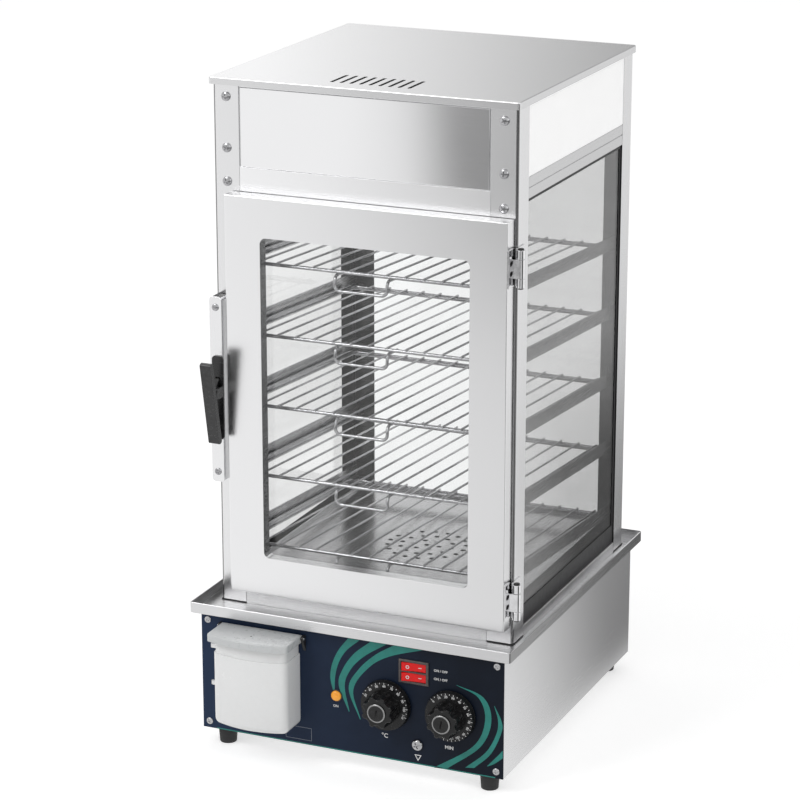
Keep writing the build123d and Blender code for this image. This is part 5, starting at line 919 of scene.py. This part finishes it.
# Name, head radius and height in millimetres, seats, body, finish, and the node it stands for
SCREW_SETS = (
    ("header_screws", 5.2, 2.9, frame_seats, "cabinet", SCREW_STEEL, "frame_screws"),
    ("hinge_post_screws", 2.6, 1.2, post_seats, "cabinet", CHROME, "frame_screws"),
    ("panel_screws", 4, 1.8, panel_seats, "cabinet", SCREW_STEEL, "base_screws"),
    ("latch_screws", 4, 1.8, latch_seats, "door", SCREW_STEEL, "door_screws"),
    ("hinge_door_screws", 2.6, 1.3, leaf_seats, "door", DARK_SCREW, "door_screws"),
    ("earth_terminal", 6.5, 4.5, earth_seats, "cabinet", SCREW_STEEL, "ground_terminal"),
)
for name, head, height, seats, body, material, node in SCREW_SETS:
    shape = screw_shape(head * MM, height * MM)
    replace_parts(screws(name, shape, seats, body, material), node)


# Indicator lamp

def indicator():
    """The domed lens in its black ring."""
    mesh = bmesh.new()
    place = front(LAMP_X, KNOB_Z, PANEL_Y)
    lathe(mesh, in_metres((0, 0), (5.9, 0), (5.9, 1.6), (5.5, 2.6), (4.4, 3.3), (2.4, 3.8), (0, 3.95)),
          place)
    lens = piece("indicator_lens", mesh, "cabinet", LENS_ORANGE, 60)
    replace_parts(lens, "indicator_lamp")
    ring = bmesh.new()
    lathe(ring, in_metres((5.95, 0), (7, 0), (7, 0.7), (6.5, 1.1), (5.95, 1.1), (5.95, 0)), place)
    piece("indicator_ring", ring, "cabinet", BLACK_PLASTIC)


indicator()


# Print on the front panel

HOLLOW = 0.62


def smooth_line(points, steps=8):
    """An even curve through a few points."""
    ends = [tuple(2 * a - b for a, b in zip(points[0], points[1])),
            tuple(2 * a - b for a, b in zip(points[-1], points[-2]))]
    held = [ends[0], *points, ends[1]]
    line = []
    for index in range(len(points) - 1):
        before, start, end, after = (Vector(point) for point in held[index:index + 4])
        for step in range(steps):
            t = step / steps
            line.append(0.5 * (2 * start + (end - before) * t
                               + (2 * before - 5 * start + 4 * end - after) * t ** 2
                               + (3 * start - before - 3 * end + after) * t ** 3))
    line.append(Vector(points[-1]))
    return line


def stroke(mesh, outer, inner):
    """A tapering curved stroke between two edges, given in millimetres on the panel."""
    lines = [in_metres(*smooth_line(edge)) for edge in (outer, inner)]
    band(mesh, *lines, front(0, 0, PANEL_Y), closed=False)


# Each stroke's outer and inner edge, in millimetres on the panel
STROKES = (
    (((-1.6, 153.9), (-13.5, 138.0), (-21.0, 121.3), (-23.4, 104.9), (-20.2, 89.4)),
     ((11.9, 153.6), (-3.5, 139.6), (-12.9, 124.4), (-17.5, 107.1), (-18.2, 89.7))),
    (((24.8, 154.0), (4.8, 136.6), (-8.9, 115.9), (-13.3, 96.7), (-1.4, 67.8)),
     ((43.9, 154.1), (17.8, 136.2), (1.4, 118.4), (-6.2, 97.9), (-0.6, 68.4))),
    (((52.1, 154.0), (30.2, 139.5), (10.2, 119.1), (-1.5, 95.0), (11.9, 60.9)),
     ((87.0, 154.3), (47.6, 140.6), (22.7, 123.6), (4.1, 94.7), (12.7, 61.5))),
    (((125.3, 120.6), (156.7, 111.0), (165.9, 85.4), (153.6, 53.5), (115.8, 22.0)),
     ((125.6, 120.1), (151.1, 109.6), (158.6, 84.2), (145.0, 52.5), (99.3, 19.5))),
    (((169.3, 103.7), (177.5, 87.4), (177.6, 74.1), (165.8, 47.6), (146.5, 27.7)),
     ((169.1, 103.2), (173.6, 86.8), (171.4, 70.6), (159.7, 48.2), (136.2, 26.4))),
    (((179.3, 53.7), (173.6, 46.6), (167.3, 39.3), (161.5, 32.6)),
     ((179.4, 44.9), (174.6, 40.6), (168.3, 35.6), (161.3, 32.1))),
)
# Words, their height and their place across and up the panel, in millimetres
LABELS = (
    ("°C", 7, 41.5, 47.2), ("MIN", 5.6, 117.3, 46), ("ON", 4, -17, 72),
    ("ON / OFF", 3.8, 107, 132.8), ("ON / OFF", 3.8, 107, 123.2),
)


def panel_print():
    """Teal strokes and edge line, plain white marks and an empty label frame."""
    teal = bmesh.new()
    for outer, inner in STROKES:
        stroke(teal, outer, inner)
    plate(teal, rectangle(-163 * MM, 171 * MM, 20.2 * MM, 21.4 * MM), front(0, 0, PANEL_Y))
    piece("teal_strokes", teal, "cabinet", TEAL)
    white = bmesh.new()
    for words, size, x, z in LABELS:
        lettering(white, words, size * MM, front(x * MM, z * MM, PANEL_Y))
    triangle = in_metres((-4.2, 3), (4.2, 3), (0, -4.2))
    smaller = [(x * HOLLOW, y * HOLLOW + 0.2 * MM) for x, y in triangle]
    band(white, triangle, smaller, front(EARTH_X + 0.4 * MM, 28.4 * MM, PANEL_Y))
    piece("white_marks", white, "cabinet", PRINT)
    faint = bmesh.new()
    frame_outer = rectangle(-78 * MM, -46.5 * MM, 25 * MM, 40 * MM)
    frame_inner = rectangle(-77.5 * MM, -47 * MM, 25.5 * MM, 39.5 * MM)
    band(faint, frame_outer, frame_inner, front(0, 0, PANEL_Y))
    piece("label_frame", faint, "cabinet", FAINT_PRINT)


panel_print()


# Dials

SKIRT_FRONT = 8 * MM
CAP_FRONT = 29.8 * MM
CAP_SUNK = 1.0 * MM
NUMBER_RING = 23.6 * MM
NUMBER_SIZE = 3.7 * MM
TICK_RING = 26.6 * MM
TICK_HALF_WIDTH = 0.28 * MM
SHORT_TICK = 0.75 * MM
LONG_TICK = 1.1 * MM
MARKER_HALF = (0.9 * MM, 4.6 * MM)
MARKER_TURN = radians(-12)
MARKER_PROUD = 0.03 * MM
CAP_PROFILE = in_metres((0, 0), (10.5, 0), (10.5, 0.5), (10.0, 0.9), (9.0, 0.9), (8.6, 0.4), (7.9, 0.4),
                        (7.5, 0.95), (0, 0.98))


def on_dial(x, radius, angle, face):
    """A place on a dial's face, turned with its angle."""
    place = front(x + radius * sin(angle), KNOB_Z + radius * cos(angle), face)
    return place @ Matrix.Rotation(-angle, 4, "Z")


def dial(node, x, numbers, first, pitch, ticks):
    """White numbers and ticks on the skirt, and the turned cap with its marker."""
    marks = bmesh.new()
    face = PANEL_Y - SKIRT_FRONT
    for index, number in enumerate(numbers):
        angle = radians(first + pitch * index)
        lettering(marks, str(number), NUMBER_SIZE, on_dial(x, NUMBER_RING, angle, face))
    for index in range(len(numbers) * ticks - ticks + 1):
        tall = SHORT_TICK if index % ticks else LONG_TICK
        plate(marks, rectangle(-TICK_HALF_WIDTH, TICK_HALF_WIDTH, -tall, tall),
              on_dial(x, TICK_RING, radians(first + pitch * index / ticks), face))
    piece(f"{node}_numbers", marks, BODY[node], PRINT)
    cap = bmesh.new()
    lathe(cap, CAP_PROFILE, front(x, KNOB_Z, PANEL_Y - CAP_FRONT + CAP_SUNK), 48)
    piece(f"{node}_cap", cap, BODY[node], CAP_GREY)
    marker = bmesh.new()
    wide, tall = MARKER_HALF
    place = front(x, KNOB_Z, PANEL_Y - CAP_FRONT + MARKER_PROUD) @ Matrix.Rotation(MARKER_TURN, 4, "Z")
    plate(marker, rectangle(-wide, wide, -tall, tall), place, MARKER_PROUD)
    piece(f"{node}_marker", marker, BODY[node], PRINT)


dial("thermostat_knob", THERMOSTAT_X, range(30, 111, 10), -66, 22, 2)
dial("timer_knob", TIMER_X, range(0, 121, 10), -48, 20, 2)


# Rocker marks

ROCKER_TILT = radians(7)
ROCKER_PIVOT_Y = PANEL_Y + 2.5 * MM
ROCKER_MARK_OUT = 4.45 * MM
ROCKER_MARK_SIDE = 7 * MM
ROCKER_RING = 2.0 * MM
ROCKER_DASH = (1.8 * MM, 0.35 * MM)
ROCKER_PRINT = 0.05 * MM


def rocker_marks(node):
    """A ring and a dash on the rocker's two halves."""
    low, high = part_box(node)
    level = (low.z + high.z) / 2
    tilt = Matrix.Translation((SWITCH_X, ROCKER_PIVOT_Y, 0)) @ Matrix.Rotation(ROCKER_TILT, 4, "Z")
    mesh = bmesh.new()
    ring = [(ROCKER_RING * cos(tau * k / 24), ROCKER_RING * sin(tau * k / 24)) for k in range(24)]
    hole = [(x * HOLLOW, y * HOLLOW) for x, y in ring]
    band(mesh, ring, hole, tilt @ front(-ROCKER_MARK_SIDE, level, -ROCKER_MARK_OUT), ROCKER_PRINT)
    wide, tall = ROCKER_DASH
    plate(mesh, rectangle(-wide, wide, -tall, tall),
          tilt @ front(ROCKER_MARK_SIDE, level, -ROCKER_MARK_OUT), ROCKER_PRINT)
    piece(f"{node}_marks", mesh, BODY[node], PRINT)


rocker_marks("rocker_upper")
rocker_marks("rocker_lower")


# Stage, light and camera

# Faces and corner that the mirrored shades start from, and how the shades slant
FRONT_FACE = 0.18
FRONT_SLANT = -0.438
SIDE_FACE = 0.19
SIDE_SLANT = -2.287
CORNER_X = 0.16
CORNER_Y = 0.17
MIRROR_BRIGHT = 1.05
MIRROR_DARK = 0.05
FLOOR_HALF = 14
FLOOR_WHITE = 0.86
CAMERA_REACH = 50
LIGHT_SIZE = 1.6
LIGHT_TARGET = Vector((0, 0, 0.35))
KEY_PLACE = Vector((-1.7, -2.4, 2.8))
FILL_PLACE = Vector((2.6, -1.2, 1.8))


def across_studio(tree, place):
    """How far a point lies to the right along the studio wall."""
    turned = tree.nodes.new("ShaderNodeVectorMath")
    turned.operation = "DOT_PRODUCT"
    turned.inputs[1].default_value = (cos(STUDIO_TURN), sin(STUDIO_TURN), 0)
    tree.links.new(place, turned.inputs[0])
    return turned.outputs["Value"]


def mirrored_studio(tree, place):
    """Brightness that polished metal finds on the studio floor: clear in front, dimmer to the right
    and in the object's own shade behind it, with a dark wedge beyond the right front corner."""
    parts = split(tree, place)
    x, y = parts["X"], parts["Y"]
    slide = total(tree, x, product(tree, total(tree, y, FRONT_FACE), FRONT_SLANT))
    near_dim = spread(tree, slide, 0, 0.22, -0.10, 0.17)
    far_dim = product(tree, spread(tree, slide, 0, 0.50, 0.06, 0.16), spread(tree, y, 0, 1, -2.02, -2.15))
    front_part = product(tree, total(tree, near_dim, far_dim), spread(tree, y, 1, 0, -0.35, -0.15))
    depth = total(tree, y, product(tree, total(tree, x, -SIDE_FACE), SIDE_SLANT))
    rear_part = product(tree, spread(tree, depth, 0, 0.80, -0.17, 0.17), spread(tree, x, 0, 1, 0.17, 0.22))
    rear_part = product(tree, rear_part, spread(tree, x, 1, 0.3, 0.45, 0.7))
    turn = total(tree, total(tree, y, CORNER_Y), total(tree, x, -CORNER_X), "ARCTAN2")
    wedge = product(tree, spread(tree, turn, 0, 0.9, -0.80, -0.55), spread(tree, turn, 1, 0, -0.25, 0.0))
    wedge = product(tree, wedge, spread(tree, x, 0, 1, 0.25, 0.35))
    dim = total(tree, total(tree, front_part, rear_part), wedge)
    return spread(tree, dim, MIRROR_BRIGHT, MIRROR_DARK, 0, 1)


def stage_material(name, level):
    """Pale matt surface that a camera sees as clean white, with its shadows kept. Polished metal sees
    it as the lit studio around the object."""
    material, tree, output = new_tree(name)
    path = new_node(tree, "LightPath")
    seen = total(tree, path.outputs["Is Camera Ray"], path.outputs["Is Transmission Ray"])
    diffuse = new_node(tree, "BsdfDiffuse", Color=(level, level, level, 1))
    lift = new_node(tree, "Emission", Strength=product(tree, seen, FLOOR_LIFT))
    both = tree.nodes.new("ShaderNodeAddShader")
    tree.links.new(diffuse.outputs["BSDF"], both.inputs[0])
    tree.links.new(lift.outputs["Emission"], both.inputs[1])
    geometry = new_node(tree, "NewGeometry")
    mirrored = new_node(tree, "Emission", Strength=mirrored_studio(tree, geometry.outputs["Position"]))
    surface = blend_shaders(tree, path.outputs["Is Glossy Ray"], both.outputs["Shader"],
                            mirrored.outputs["Emission"])
    tree.links.new(surface, output.inputs["Surface"])
    return material


def make_reflector():
    """Graded studio wall behind the object that only polished metal sees: light left, dimmer right."""
    material, tree, output = new_tree("graded_wall")
    geometry = new_node(tree, "NewGeometry")
    across = across_studio(tree, geometry.outputs["Position"])
    glow = new_node(tree, "Emission", Strength=spread(tree, across, 1.2, 0.50, -0.22, 0.30))
    tree.links.new(glow.outputs["Emission"], output.inputs["Surface"])
    mesh = bmesh.new()
    behind = Vector((-sin(STUDIO_TURN), cos(STUDIO_TURN), 0)) * WALL_DISTANCE
    right = Vector((cos(STUDIO_TURN), sin(STUDIO_TURN), 0)) * WALL_HALF_WIDTH
    mesh.faces.new([mesh.verts.new(behind + right * side + Vector((0, 0, z)))
                    for side, z in rectangle(-1, 1, WALL_LOW, WALL_HIGH)])
    wall = linked("graded_wall", mesh, material)
    wall.visible_camera = False
    wall.visible_diffuse = False
    wall.visible_transmission = False
    wall.visible_shadow = False


def make_floor():
    mesh = bmesh.new()
    bmesh.ops.create_grid(mesh, x_segments=1, y_segments=1, size=FLOOR_HALF)
    linked("floor", mesh, stage_material("floor_white", FLOOR_WHITE))


def make_world():
    world = bpy.data.worlds.new("studio")
    scene.world = world
    world.use_nodes = True
    tree = world.node_tree
    background = tree.nodes["Background"]
    background.inputs["Color"].default_value = (1, 1, 1, 1)
    path = new_node(tree, "LightPath")
    seen = total(tree, total(tree, path.outputs["Is Camera Ray"], path.outputs["Is Glossy Ray"]),
                 path.outputs["Is Transmission Ray"])
    tree.links.new(spread(tree, seen, SKY_LEVEL, 1.0, 0, 1), background.inputs["Strength"])


def area_light(name, place, power):
    """A soft square lamp that looks at the object."""
    data = bpy.data.lights.new(name, "AREA")
    data.shape = "SQUARE"
    data.size = LIGHT_SIZE
    data.energy = power
    light = bpy.data.objects.new(name, data)
    light.location = place
    light.rotation_euler = (LIGHT_TARGET - place).to_track_quat("-Z", "Y").to_euler()
    scene.collection.objects.link(light)


def make_camera():
    data = bpy.data.cameras.new("camera")
    data.lens = CAMERA_LENS
    data.clip_end = CAMERA_REACH
    camera = bpy.data.objects.new("camera", data)
    camera.location = CAMERA_PLACE
    camera.rotation_euler = (pi / 2 - CAMERA_DROP, 0, CAMERA_TURN)
    scene.collection.objects.link(camera)
    scene.camera = camera


make_floor()
make_reflector()
make_world()
area_light("key", KEY_PLACE, KEY_POWER)
area_light("fill", FILL_PLACE, FILL_POWER)
make_camera()
scene.view_settings.view_transform = "Standard"
